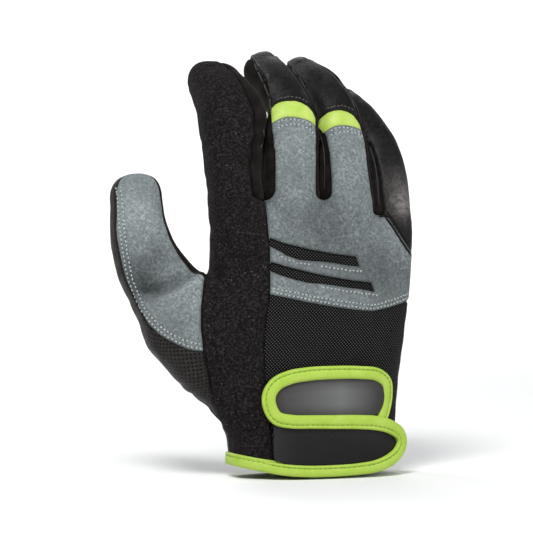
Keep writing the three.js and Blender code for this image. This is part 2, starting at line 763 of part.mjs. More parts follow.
const glove = new THREE.Group();
glove.name = "slide_glove";
for (const [name, piece] of pieces) {
  const look = looks[name] ?? { colour: "leather", roughness: 0.6 };
  const body = piece.decompose().sort((a, b) => b.volume() - a.volume())[0];
  const material = new THREE.MeshStandardMaterial({ color: colours[look.colour], roughness: look.roughness });
  const mesh = new THREE.Mesh(geometryOf(body), material);
  mesh.name = name;
  glove.add(mesh);
}
export default glove;
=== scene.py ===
import bpy
import json
import math
import numpy as np
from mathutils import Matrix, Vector, noise
from mathutils.bvhtree import BVHTree
from mathutils.kdtree import KDTree


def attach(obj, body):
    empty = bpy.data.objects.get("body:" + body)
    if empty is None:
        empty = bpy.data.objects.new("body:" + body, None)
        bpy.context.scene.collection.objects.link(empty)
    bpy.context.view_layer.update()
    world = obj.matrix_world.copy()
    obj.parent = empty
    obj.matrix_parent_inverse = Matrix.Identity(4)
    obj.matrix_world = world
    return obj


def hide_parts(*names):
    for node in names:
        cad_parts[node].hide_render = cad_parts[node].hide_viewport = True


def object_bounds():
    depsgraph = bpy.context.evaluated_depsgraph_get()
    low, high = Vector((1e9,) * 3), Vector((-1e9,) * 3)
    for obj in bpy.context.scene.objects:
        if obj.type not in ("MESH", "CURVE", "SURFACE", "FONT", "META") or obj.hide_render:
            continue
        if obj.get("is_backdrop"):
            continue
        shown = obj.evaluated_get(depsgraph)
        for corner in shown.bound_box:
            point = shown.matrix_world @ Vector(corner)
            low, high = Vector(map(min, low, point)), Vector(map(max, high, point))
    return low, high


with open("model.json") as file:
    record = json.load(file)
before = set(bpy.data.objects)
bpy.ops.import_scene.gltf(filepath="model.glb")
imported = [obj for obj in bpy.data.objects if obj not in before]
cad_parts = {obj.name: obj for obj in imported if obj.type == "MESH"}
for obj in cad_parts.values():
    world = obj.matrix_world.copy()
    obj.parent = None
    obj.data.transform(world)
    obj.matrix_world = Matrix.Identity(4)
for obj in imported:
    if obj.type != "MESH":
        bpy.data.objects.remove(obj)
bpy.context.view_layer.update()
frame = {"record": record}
MM = 0.001
rng = np.random.default_rng(7)

# Sizes in mm, as in the solids, but for the hem's rise, which is 1 mm less, and the wall, which is 0.1 mm thinner.
# STRAP_LOW is how far the closure's faces lie above the strap's reach.
PALM_W, PALM_H, BACK_D, PALM_D = 104.0, 137.0, 19.0, 18.0
HEM_RISE, HEM_DROP, WALL = 5.0, 1.6, 1.5
BIND_H, BIND_T = 6.6, 1.1
STRAP_REACH, STRAP_LOW = 1.6, 1.4
PUCK_W, PUCK_H, PUCK_T, PUCK_CORNER, PUCK_EDGE = 86.0, 130.0, 17.0, 23.0, 8.0
PUCK_TILT, PUCK_FOOT, PUCK_MID = 5.0, 14.0, 0.06 * PALM_W
PAD_GAP, PAD_T = 0.3, 2.0
PUCK_BASE = PALM_D + PAD_GAP + PAD_T + PAD_GAP
# Exponents of the sections: 2 is an ellipse, more is squarer
SQUARE_PALM, SQUARE_BACK, SQUARE_STRAP, SQUARE_DIGIT = 3.6, 2.4, 2.6, 2.5
# Share of the half width at which the closure leaves the wrist's curve and goes on straight
STRAP_BEND = 0.8
HAND_TOP = 0.98 * PALM_H
VOXEL, VOXEL_QUICK = 0.85, 1.2
# Last sample of a digit's centreline before its rounded tip
LAST = 89
# Directions round a finger, in degrees: where its back ends on the right, and the middle of its palm side
BACK_RIGHT, INNER = 42, 180

# up, middle, width, back, palm, hem: shares of the sizes above
HAND = np.array([
    (-0.012, -0.005, 0.845, 1.08, 1.05, 1.0),
    (0.045, -0.006, 0.845, 1.07, 1.03, 0.9),
    (0.13, -0.02, 0.87, 1.06, 1.0, 0.5),
    (0.21, -0.06, 0.95, 1.06, 1.0, 0.0),
    (0.3, -0.083, 1.01, 1.06, 1.0, 0.0),
    (0.4, -0.07, 1.02, 1.05, 1.0, 0.0),
    (0.57, -0.036, 1.02, 1.01, 1.0, 0.0),
    (0.72, -0.02, 1.02, 0.98, 1.0, 0.0),
    (0.83, -0.015, 1.02, 0.93, 0.97, 0.0),
    (0.895, -0.022, 0.99, 0.86, 0.88, 0.0),
    (0.945, -0.07, 0.83, 0.72, 0.74, 0.0),
    (0.98, -0.12, 0.66, 0.48, 0.5, 0.0),
])
# root, start, rise, reach, splay, lean, width, depth
FINGERS = {
    "index": (-0.372, 0.81, 86, 33, -6, 1, 28.8, 25),
    "middle": (-0.106, 0.82, 90, 38, 0.5, -6, 27.4, 25.4),
    "ring": (0.168, 0.82, 88, 41, 1, -12, 26.6, 25),
    "pinky": (0.39, 0.74, 84, 37, 0, -11.5, 21.8, 22.6),
}
# along, forward, lean, width, depth
CURL = np.array([
    (0, 0, 0, 0.84, 1.28), (0.2, 0, 0, 1, 1.28), (0.36, 0.045, 0, 1.01, 1.14), (0.54, 0.13, 0.02, 1, 1.04),
    (0.7, 0.28, 0.14, 1, 1), (0.84, 0.5, 0.42, 0.95, 0.97), (0.94, 0.76, 0.76, 0.88, 0.92), (1, 1, 1, 0.82, 0.86),
])
# root, start, rise, reach, out, width, depth
THUMB = (-0.29, 0.365, 87.5, 17, -59.5, 26.6, 26)
# along, out, forward, width, depth
THUMB_CURL = np.array([
    (0, 0, 0, 1.5, 1.1), (0.18, 0.36, 0.1, 2.1, 1.32), (0.325, 0.595, 0.3, 1.9, 1.36), (0.46, 0.77, 0.5, 1.45, 1.24),
    (0.64, 0.92, 0.7, 1.24, 1.12), (0.83, 0.99, 0.88, 1.06, 1.03), (1, 1, 1, 0.95, 0.94),
])


# Curves and surfaces in numpy

def spline(xs, ys, x):
    """Smooth curve through (xs, ys), read at x."""
    xs, ys, x = np.asarray(xs, float), np.asarray(ys, float), np.asarray(x, float)
    h = np.diff(xs)
    d = (np.diff(ys, axis=0).T / h).T
    m = np.empty_like(ys)
    m[0], m[-1] = d[0], d[-1]
    w = h[:-1] / (h[:-1] + h[1:])
    m[1:-1] = (d[:-1].T * (1 - w) + d[1:].T * w).T
    i = np.clip(np.searchsorted(xs, x) - 1, 0, len(h) - 1)
    t = np.clip((x - xs[i]) / h[i], 0, 1)
    a, b, c, e = 2 * t**3 - 3 * t**2 + 1, t**3 - 2 * t**2 + t, -2 * t**3 + 3 * t**2, t**3 - t**2
    return (ys[i].T * a + m[i].T * (b * h[i]) + ys[i + 1].T * c + m[i + 1].T * (e * h[i])).T


def path(points, count, closed=False):
    """count points evenly along a smooth curve through a few points."""
    p = np.asarray(points, float)
    if closed:
        p = np.vstack([p[-2:], p, p[:3]])
    k = np.concatenate([[0], np.cumsum(np.linalg.norm(np.diff(p, axis=0), axis=1))])
    lo, hi = (k[2], k[-3]) if closed else (k[0], k[-1])
    fine = spline(k, p, np.linspace(lo, hi, 40 * len(p)))
    s = np.concatenate([[0], np.cumsum(np.linalg.norm(np.diff(fine, axis=0), axis=1))])
    at = np.linspace(0, s[-1], count, endpoint=not closed)
    return np.stack([np.interp(at, s, fine[:, j]) for j in range(p.shape[1])], axis=1)


def unit(v):
    return v / np.maximum(np.linalg.norm(v, axis=-1, keepdims=True), 1e-12)


# Across and away, as seen from the front quarter
RIGHT, AHEAD = np.array([0.93969, -0.34202, 0.0]), np.array([0.34202, 0.93969, 0.0])
# Lines drawn in that plane count in steps of so many mm, from their middle and foot on the back and on the palm
STEP = 0.59
MIDDLE, FOOT = 185, 432
PALM_MIDDLE, PALM_FOOT = 370, 430


def seen(points, middle=MIDDLE, foot=FOOT):
    """Across and up, in mm, of points that count in steps from the left and downwards."""
    q = np.asarray(points, float)
    return np.stack([(q[:, 0] - middle) * STEP, (foot - q[:, 1]) * STEP], 1)


def seen_palm(points):
    return seen(points, PALM_MIDDLE, PALM_FOOT)


def hand_row(z):
    """The hand's table at heights in mm."""
    return spline(HAND[:, 0], HAND[:, 1:], np.asarray(z) / PALM_H)


def rounded(t, a, back, palm):
    """Points at the turns t of a soft-cornered section: half width a, with its own depth on each side."""
    on_palm = np.sin(t) > 0
    n = np.where(on_palm, SQUARE_PALM, SQUARE_BACK)
    b = np.where(on_palm, palm, back)
    x = a * np.sign(np.cos(t)) * np.abs(np.cos(t)) ** (2 / n)
    return x, b * np.sign(np.sin(t)) * np.abs(np.sin(t)) ** (2 / n)


def hand_ring(z, sides=128):
    """The hand's section at a height."""
    mid, width, back, palm, hem = hand_row(z)
    a = width * PALM_W / 2
    x, y = rounded(np.arange(sides) / sides * 2 * np.pi, a, back * BACK_D, palm * PALM_D)
    return np.stack([x + mid * PALM_W, y, z + hem * HEM_RISE * (x / a) ** 2], axis=1)


def skin_mesh(rings):
    """Triangles of a closed surface through rings of equal size."""
    n, m = len(rings[0]), len(rings)
    v = np.vstack([rings[0].mean(0), *rings, rings[-1].mean(0)])
    i = np.arange(n)
    j = (i + 1) % n
    f = [np.stack([np.zeros(n, int), 1 + j, 1 + i], 1)]
    for r in range(m - 1):
        a, b = 1 + r * n, 1 + (r + 1) * n
        f += [np.stack([a + i, a + j, b + j], 1), np.stack([a + i, b + j, b + i], 1)]
    a = 1 + (m - 1) * n
    f.append(np.stack([a + i, a + j, np.full(n, len(v) - 1)], 1))
    return v, np.vstack(f)


def joined(meshes):
    """Several meshes as one."""
    n = np.cumsum([0] + [len(v) for v, _ in meshes])
    return np.vstack([v for v, _ in meshes]), np.vstack([f + k for (_, f), k in zip(meshes, n)])


class Digit:
    """A digit's centreline, its directions and its size, finely sampled. share runs over the table's rows."""

    def __init__(self, name):
        if name == "thumb":
            root, start, rise, reach, out, width, depth = THUMB
            t = THUMB_CURL
            c = np.stack([root * PALM_W + out * t[:, 1], reach * t[:, 2], start * PALM_H + rise * t[:, 0]], 1)
        else:
            root, start, rise, reach, splay, lean, width, depth = FINGERS[name]
            t = CURL
            c = np.stack([root * PALM_W + splay * t[:, 0] + lean * t[:, 2], reach * t[:, 1],
                          start * PALM_H + rise * t[:, 0]], 1)
        k = np.linspace(0, 1, len(t))
        self.share = np.linspace(0, 1, LAST + 1)
        self.c = spline(k, c, self.share)
        self.t = unit(np.gradient(self.c, axis=0))
        self.hw = spline(k, t[:, -2] * width / 2, self.share)
        self.hd = spline(k, t[:, -1] * depth / 2, self.share)
        over = np.arange(1, 12) * 2.0
        self.tip = self.hw[-1]
        self.share = np.concatenate([self.share, 1 + over / rise])
        self.c = np.vstack([self.c, self.c[-1] + over[:, None] * self.t[-1]])
        self.t = np.vstack([self.t, np.repeat(self.t[-1:], len(over), 0)])
        fall = np.sqrt(np.clip(1 - (over / self.tip) ** 2, 0.02, 1))
        self.hw = np.concatenate([self.hw, self.hw[-1] * fall])
        self.hd = np.concatenate([self.hd, self.hd[-1] * fall])
        self.w = unit(np.stack([self.t[:, 2], 0 * self.t[:, 0], -self.t[:, 0]], 1))
        self.d = unit(np.cross(self.t, self.w))
        step = np.linalg.norm(np.diff(self.c, axis=0), axis=1)
        self.run = np.concatenate([[0], np.cumsum(step)])

    def solid(self, sides=72):
        turn = (np.arange(sides) + 0.5) / sides * 2 * np.pi
        ca, sa = np.cos(turn), np.sin(turn)
        x = np.sign(ca) * np.abs(ca) ** (2 / SQUARE_DIGIT)
        y = np.sign(sa) * np.abs(sa) ** (2 / SQUARE_DIGIT)
        rings = []
        for i in range(LAST + 1):
            rings.append(self.c[i] + np.outer(x * self.hw[i], self.w[i]) + np.outer(y * self.hd[i], self.d[i]))
        for q in np.linspace(0.08, 0.97, 12):
            a = q * np.pi / 2
            rings.append(self.c[LAST] + self.tip * np.sin(a) * self.t[LAST]
                         + np.cos(a) ** 0.6 * (np.outer(x * self.hw[LAST], self.w[LAST])
                                               + np.outer(y * self.hd[LAST], self.d[LAST])))
        return skin_mesh(rings)

    def read(self, p):
        """For points p: share along the digit, degrees from its back towards +X, its mean radius there, how far p is
        outside its skin, and its length coordinate in mm."""
        best = np.full(len(p), 1e9)
        k = np.zeros(len(p), int)
        for i in range(len(self.c)):
            d2 = ((p - self.c[i]) ** 2).sum(1)
            hit = d2 < best
            best[hit], k[hit] = d2[hit], i
        off = p - self.c[k]
        t = (off * self.t[k]).sum(1)
        w = (off * self.w[k]).sum(1)
        d = (off * self.d[k]).sum(1)
        slope = np.gradient(self.share, self.run)
        share = self.share[k] + t * slope[k]
        hw = np.interp(share, self.share, self.hw)
        hd = np.interp(share, self.share, self.hd)
        rho = ((np.abs(w) / hw) ** SQUARE_DIGIT + (np.abs(d) / hd) ** SQUARE_DIGIT) ** (1 / SQUARE_DIGIT)
        r = (hw + hd) / 2
        return {"s": share, "deg": np.degrees(np.arctan2(w, -d)), "r": r, "out": (rho - 1) * r,
                "len": self.run[k] + t}


DIGITS = {name: Digit(name) for name in (*FINGERS, "thumb")}


def make_mesh(name, v, f):
    me = bpy.data.meshes.new(name)
    me.vertices.add(len(v))
    me.vertices.foreach_set("co", (np.asarray(v, float) * MM).ravel())
    f = np.asarray(f)
    me.loops.add(f.size)
    me.loops.foreach_set("vertex_index", f.astype(np.int32).ravel())
    me.polygons.add(len(f))
    me.polygons.foreach_set("loop_start", np.arange(0, f.size, f.shape[1], dtype=np.int32))
    me.polygons.foreach_set("loop_total", np.full(len(f), f.shape[1], dtype=np.int32))
    me.update(calc_edges=True)
    me.validate()
    return me


def base_skin():
    """The glove's whole outer skin as one smooth mesh, in millimetres."""
    heights = np.concatenate([[-9.0], np.linspace(-HEM_DROP, HAND_TOP, 80)])
    rings = [hand_ring(max(z, -HEM_DROP)) + np.array([0, 0, min(0, z + HEM_DROP)]) for z in heights]
    v, f = joined([skin_mesh(rings)] + [d.solid() for d in DIGITS.values()])
    ob = bpy.data.objects.new("base", make_mesh("base", v, f))
    bpy.context.scene.collection.objects.link(ob)
    re = ob.modifiers.new("re", "REMESH")
    re.mode = "VOXEL"
    re.voxel_size = VOXEL * MM
    sm = ob.modifiers.new("sm", "SMOOTH")
    sm.factor = 0.5
    sm.iterations = 10
    ev = ob.evaluated_get(bpy.context.evaluated_depsgraph_get())
    me = ev.to_mesh()
    me.calc_loop_triangles()
    p = np.empty(len(me.vertices) * 3)
    me.vertices.foreach_get("co", p)
    t = np.empty(len(me.loop_triangles) * 3, np.int32)
    me.loop_triangles.foreach_get("vertices", t)
    ev.to_mesh_clear()
    bpy.data.objects.remove(ob)
    return p.reshape(-1, 3) / MM, t.reshape(-1, 3)


def normals_of(p, t):
    n = np.zeros_like(p)
    c = np.cross(p[t[:, 1]] - p[t[:, 0]], p[t[:, 2]] - p[t[:, 0]])
    for j in range(3):
        np.add.at(n, t[:, j], c)
    return unit(n)


ARC_T = np.linspace(-np.pi, np.pi, 721)


def arc_lengths():
    """Length round the hand's section from its left side over the back to the palm, at each turn of ARC_T."""
    x, y = rounded(ARC_T, PALM_W / 2, BACK_D, PALM_D)
    return np.concatenate([[0], np.cumsum(np.hypot(np.diff(x), np.diff(y)))])


ARC = arc_lengths()


def body_coords(p):
    """How far points are outside the hand's skin, and the way round it, in mm."""
    row = hand_row(p[:, 2])
    a = row[:, 1] * PALM_W / 2
    on_palm = p[:, 1] > 0
    n = np.where(on_palm, SQUARE_PALM, SQUARE_BACK)
    b = np.where(on_palm, row[:, 3] * PALM_D, row[:, 2] * BACK_D)
    u = (p[:, 0] - row[:, 0] * PALM_W) / a
    v = p[:, 1] / b
    rho = (np.abs(u) ** n + np.abs(v) ** n) ** (1 / n)
    out = (rho - 1) * (np.abs(u) * a + np.abs(v) * b) / (np.abs(u) + np.abs(v) + 1e-9)
    out = np.maximum(out, p[:, 2] - HAND_TOP)
    turn = np.arctan2(np.sign(v) * np.abs(v) ** (n / 2), np.sign(u) * np.abs(u) ** (n / 2))
    return out, np.interp(turn, ARC_T, ARC)


def read_all(p):
    """Where points lie on the hand and on each digit, and by how much each of them is their nearest."""
    c = {name: d.read(p) for name, d in DIGITS.items()}
    out, around = body_coords(p)
    c["body"] = {"out": out, "around": around}
    near = np.stack([np.abs(out)] + [np.abs(c[k]["out"]) for k in DIGITS])
    order = np.sort(near, axis=0)
    for i, k in enumerate(["body", *DIGITS]):
        other = np.where(near[i] <= order[0], order[1], order[0])
        c[k]["mine"] = other - near[i]
    return c


class Skin:
    """A triangle mesh that remembers where its points were on the plain skin (p0)."""

    def __init__(self, p0, p, n, t, c):
        self.p0, self.p, self.n, self.t, self.c = p0, p, n, t, c

    def take(self, tris):
        used, inverse = np.unique(tris, return_inverse=True)
        c = {k: {q: a[used] for q, a in v.items()} for k, v in self.c.items()}
        return Skin(self.p0[used], self.p[used], self.n[used], inverse.reshape(-1, 3), c)

    def split(self, f):
        """The part where f is above 0, and the rest, cut cleanly along f = 0."""
        f = np.where(np.abs(f) < 1e-4, 1e-4, f)
        t = self.t
        s = f[t] > 0
        count = s.sum(1)
        keep, rest = [t[count == 3]], [t[count == 0]]
        mixed = t[(count == 1) | (count == 2)]
        if len(mixed):
            sm = f[mixed] > 0
            lone_in = sm.sum(1) == 1
            lone = np.where(lone_in, sm.argmax(1), (~sm).argmax(1))
            r = np.arange(len(mixed))
            a, b, c = mixed[r, lone], mixed[r, (lone + 1) % 3], mixed[r, (lone + 2) % 3]
            pairs = np.sort(np.vstack([np.stack([a, b], 1), np.stack([a, c], 1)]), axis=1)
            edges, inv = np.unique(pairs, axis=0, return_inverse=True)
            inv = inv.ravel()
            w = (f[edges[:, 0]] / (f[edges[:, 0]] - f[edges[:, 1]]))[:, None]
            lerp = lambda arr: arr[edges[:, 0]] * (1 - w) + arr[edges[:, 1]] * w
            p0, p, n = lerp(self.p0), lerp(self.p), unit(lerp(self.n))
            extra = read_all(p0)
            base = len(self.p)
            ab, ac = base + inv[: len(mixed)], base + inv[len(mixed):]
            small = np.stack([a, ab, ac], 1)
            big = np.vstack([np.stack([ab, b, c], 1), np.stack([ab, c, ac], 1)])
            both = np.concatenate([lone_in, lone_in])
            keep += [small[lone_in], big[~both]]
            rest += [small[~lone_in], big[both]]
            c2 = {k: {q: np.concatenate([arr, extra[k][q]]) for q, arr in v.items()} for k, v in self.c.items()}
            whole = Skin(np.vstack([self.p0, p0]), np.vstack([self.p, p]), np.vstack([self.n, n]), t, c2)
        else:
            whole = self
        keep, rest = np.vstack(keep), np.vstack(rest)
        return (whole.take(keep) if len(keep) else None), (whole.take(rest) if len(rest) else None)


# Fields that are positive inside a panel, in millimetres

def off_segment(q, a, b):
    """Squared distance of points from the segment from a to b."""
    e = b - a
    w = q - a
    d = w - np.clip((w @ e) / max(e @ e, 1e-9), 0, 1)[:, None] * e
    return (d * d).sum(1)


def inside(q, outline):
    """Distance inside a closed outline of (x, z) points."""
    a = np.asarray(outline, float)
    b = np.roll(a, -1, axis=0)
    best = np.full(len(q), 1e9)
    odd = np.zeros(len(q), bool)
    for (x0, y0), (x1, y1) in zip(a, b):
        best = np.minimum(best, off_segment(q, np.array([x0, y0]), np.array([x1, y1])))
        level = (y0 > q[:, 1]) != (y1 > q[:, 1])
        odd ^= level & (q[:, 0] < (x1 - x0) * (q[:, 1] - y0) / (y1 - y0 + 1e-12) + x0)
    return np.where(odd, 1, -1) * np.sqrt(best)


def smin(a, b, k):
    h = np.clip(0.5 + 0.5 * (b - a) / k, 0, 1)
    return b + (a - b) * h - k * h * (1 - h)


def smax(a, b, k):
    return -smin(-a, -b, k)


def least(*fields):
    """The places that lie inside all of the fields."""
    return np.minimum.reduce(np.broadcast_arrays(*fields))


def turned(g, low=0):
    """Directions in degrees, from low upwards by a full turn."""
    return np.where(g["deg"] < low, g["deg"] + 360, g["deg"])


def lane(g, low, high):
    """Between two directions round a digit, in degrees from the middle of its back."""
    deg = turned(g) if np.max(high) > 180 else g["deg"]
    return np.minimum(deg - low, high - deg) * np.radians(1) * g["r"]


def past(g, share, digit):
    """How far a place is beyond a share of a digit's length, in mm."""
    return (g["s"] - share) * DIGITS[digit].run[LAST]


# Seams of the back, as seen from the front quarter
FLEECE_EDGE = seen([(141, 188), (142.4, 199), (143.8, 205), (144.8, 221), (146.6, 237), (147, 262), (146.8, 281),
                    (143.5, 301), (142, 325), (143, 345), (148, 393), (150, 425), (150.5, 445)])
THUMB_EDGE = seen([(91, 262), (90, 272), (88.3, 290), (88.3, 308), (90, 323), (93.3, 341.7), (96.7, 361.7),
                   (100.8, 381.7), (104, 400), (104, 440)])
KNEE = seen([(141, 277.6), (147.1, 278.6), (160.7, 281.6), (180, 285.8), (200, 289.6), (217.9, 292.4), (235, 294.3),
             (249.3, 291.6), (267.9, 285.7), (280, 281.5)])
SIDE_SEAM = seen([(264, 285), (263.4, 300), (261.4, 322), (258.6, 345), (255.6, 372), (254, 400), (253, 440)])
PINKY_SEAM = seen([(238, 200), (245.3, 208.4), (257, 226), (269.8, 245.4), (284, 267)])
SLOTS = {
    "vent_mesh_upper": seen([(140, 228.8), (146.4, 230.7), (159.3, 235.3), (180, 240.4), (200, 244.3), (210.7, 245.7),
                             (220.4, 247.1), (221.6, 251.2), (223.4, 255.7), (210.7, 254.3), (200, 252.1),
                             (189.3, 251), (180, 250.4), (170.7, 249.3), (160.7, 245.7), (153.6, 241.4),
                             (146.4, 238.1), (140, 236)]),
    "vent_mesh_lower": seen([(140, 248.6), (146.4, 250.7), (160.7, 255), (180, 260), (200, 264.3), (217.9, 267.6),
                             (233.6, 269.6), (235.4, 273.2), (236.9, 277.8), (225, 275.2), (210.7, 273.3),
                             (200, 271.4), (189.3, 270), (180, 269.3), (167.9, 266.4), (156.4, 262.9),
                             (146.4, 258.6), (140, 256.6)]),
}
MIDDLE_BAND = (seen([(145, 123), (148.6, 118.6), (151.4, 115.7), (155.7, 113.9), (160.7, 113.1), (167.9, 113.1),
                     (173.6, 114.7), (179.3, 118.1), (183.6, 123.6), (186, 130), (189, 139)]),
               seen([(146, 134.6), (150.7, 131.4), (155.7, 128.6), (160.7, 127.1), (167.9, 127.1), (175, 128.6),
                     (180, 130.4), (183.6, 132.9), (186.2, 136), (189, 141)]))
RING_BAND = (seen([(188, 130.5), (192.1, 126.7), (196.4, 123.3), (202.1, 121.4), (207.9, 120.7), (213.6, 122.1),
                   (219.3, 125.4), (223.6, 130.7), (226.4, 135.7), (229.5, 141.5), (233, 150)]),
             seen([(190, 142.5), (196, 138.6), (202.1, 135), (207.9, 134), (213.6, 134), (219.3, 135), (225, 137.3),
                   (228.8, 141), (233, 152)]))


# How far each place of the back lies beside its first position, in steps: height, then the shift at each place
SHIFT_AT = [60, 78, 96, 112, 128, 135, 142, 150, 178, 187, 205, 225, 245, 262]
SHIFT = [
    (52, (0, 0, 1, 4, 4, 4, 3, 3, 3, 5, 7, 7, 0, 0)),
    (80, (0, 0, 2, 6, 6.5, 6, 4.5, 4, 3.5, 5, 8, 7, 0, 0)),
    (100, (0, 0, 2, 6.5, 9.5, 9, 5, 4.5, 5, 5, 4, 2, 0, 0)),
    (122, (0, 0, 2, 6, 11, 11, 3.6, 4, 5.6, 6, 3, 1, 0, 0)),
    (142, (0, 0, 0.5, 2.5, 7, 7, -0.2, 0, 1, 2.5, 0, -1, 0, 0)),
    (156, (0, 0, 0, -0.6, 1, 1.6, -1.8, -1.5, -1, 0, -1, -1.5, -1, 0)),
    (172, (0, 0, -1, -2.5, -3, -3, -3.5, -3, -3.5, -2, -2, -2.5, -1.5, 0)),
    (190, (0, 0, -1, -2.5, -4, -4, -4.5, -4, -4.5, -3, -2, -2, -1, 0)),
    (212, (0, 0, -1, -2, -3, -3, -3, -3, -3, -2, -1, -1, 0, 0)),
    (240, (0,) * 14),
    (300, (0,) * 14),
    (324, (-2.5, -1.5) + (0,) * 12),
    (345, (1.5, 1) + (0,) * 12),
    (354, (1.5, 1) + (0,) * 12),
    (365, (-4, -4.8, -2) + (0,) * 11),
    (378, (2, 4, 4) + (0,) * 11),
    (389, (4, 6.5, 6.5, 1.5) + (0,) * 10),
    (397, (2, 2, 2, 1) + (0,) * 10),
    (412, (0,) * 14),
]


def shift_at(u, z):
    """Sideways shift of points in the seen plane, in mm."""
    across = (np.asarray(SHIFT_AT) - MIDDLE) * STEP
    up = np.array([(FOOT - v) * STEP for v, _ in SHIFT])[::-1]
    rows = np.array([spline(across, np.array(r, float), np.clip(u, across[0], across[-1])) for _, r in SHIFT])[::-1]
    at = np.clip(z, up[0], up[-1])
    i = np.clip(np.searchsorted(up, at) - 1, 0, len(up) - 2)
    t = (at - up[i]) / (up[i + 1] - up[i])
    t = t * t * (3 - 2 * t)
    k = np.arange(len(u))
    return STEP * (rows[i, k] * (1 - t) + rows[i + 1, k] * t)


def flat(s):
    """Across and up in the seen plane, where its lines were drawn."""
    u, z = s.p0 @ RIGHT, s.p0[:, 2]
    return u + shift_at(u, z), z


def read_line(line, at, by=0):
    """A line's other coordinate at given values of one."""
    order = np.argsort(line[:, by])
    return np.interp(at, line[order, by], line[order, 1 - by])


# Where the back of a finger ends on the left, in degrees: share, middle, ring, pinky
BACK_LEFT = np.array([
    (0.2, -50, -48, -40), (0.36, -51, -52, -42), (0.5, -53, -62, -45), (0.62, -54, -67, -48), (0.7, -53, -58, -50),
    (0.8, -47, -43, -50), (0.9, -41, -32, -50), (1.0, -37, -25, -50), (1.1, -36, -22, -50),
])


def back_left(k, share):
    """The left end of a finger's back at a share of its length."""
    return np.interp(share, BACK_LEFT[:, 0], BACK_LEFT[:, ("middle", "ring", "pinky").index(k) + 1])


# The openings between the fingers on the back: middle line and half width, in steps
OPENINGS = {
    "index": [(141.2, 158, 9.6), (141.3, 175, 9.9), (141.5, 189, 9.9)],
    "middle": [(187.5, 133, 2.5), (190.5, 145, 4.6), (192.3, 160, 6.0), (192.8, 180, 6.7), (192.9, 192, 6.7)],
    "ring": [(231.5, 150, 2.0), (234.8, 162, 3.4), (238.6, 185, 4.4), (240.4, 207, 4.9)],
}


def opening(left, u, z):
    """Inside the opening on the right of a finger, in mm."""
    line = seen([row[:2] for row in OPENINGS[left]])
    half = [row[2] * STEP for row in OPENINGS[left]]
    best = np.full(len(u), -1e9)
    q = np.stack([u, z], 1)
    for a, b, r0, r1 in zip(line[:-1], line[1:], half, half[1:]):
        w = q - a
        h = np.clip((w @ (b - a)) / ((b - a) @ (b - a)), 0, 1)
        best = np.maximum(best, r0 + (r1 - r0) * h - np.linalg.norm(w - h[:, None] * (b - a), axis=1))
    return best


def near(s, k, slack):
    """How far a place is on digit k's side of the other digits and the hand, with so much slack."""
    return s.c[k]["mine"] + slack


def below(s, limit):
    """Above 0 on the back of the plane at this depth."""
    return limit - s.p0[:, 1]


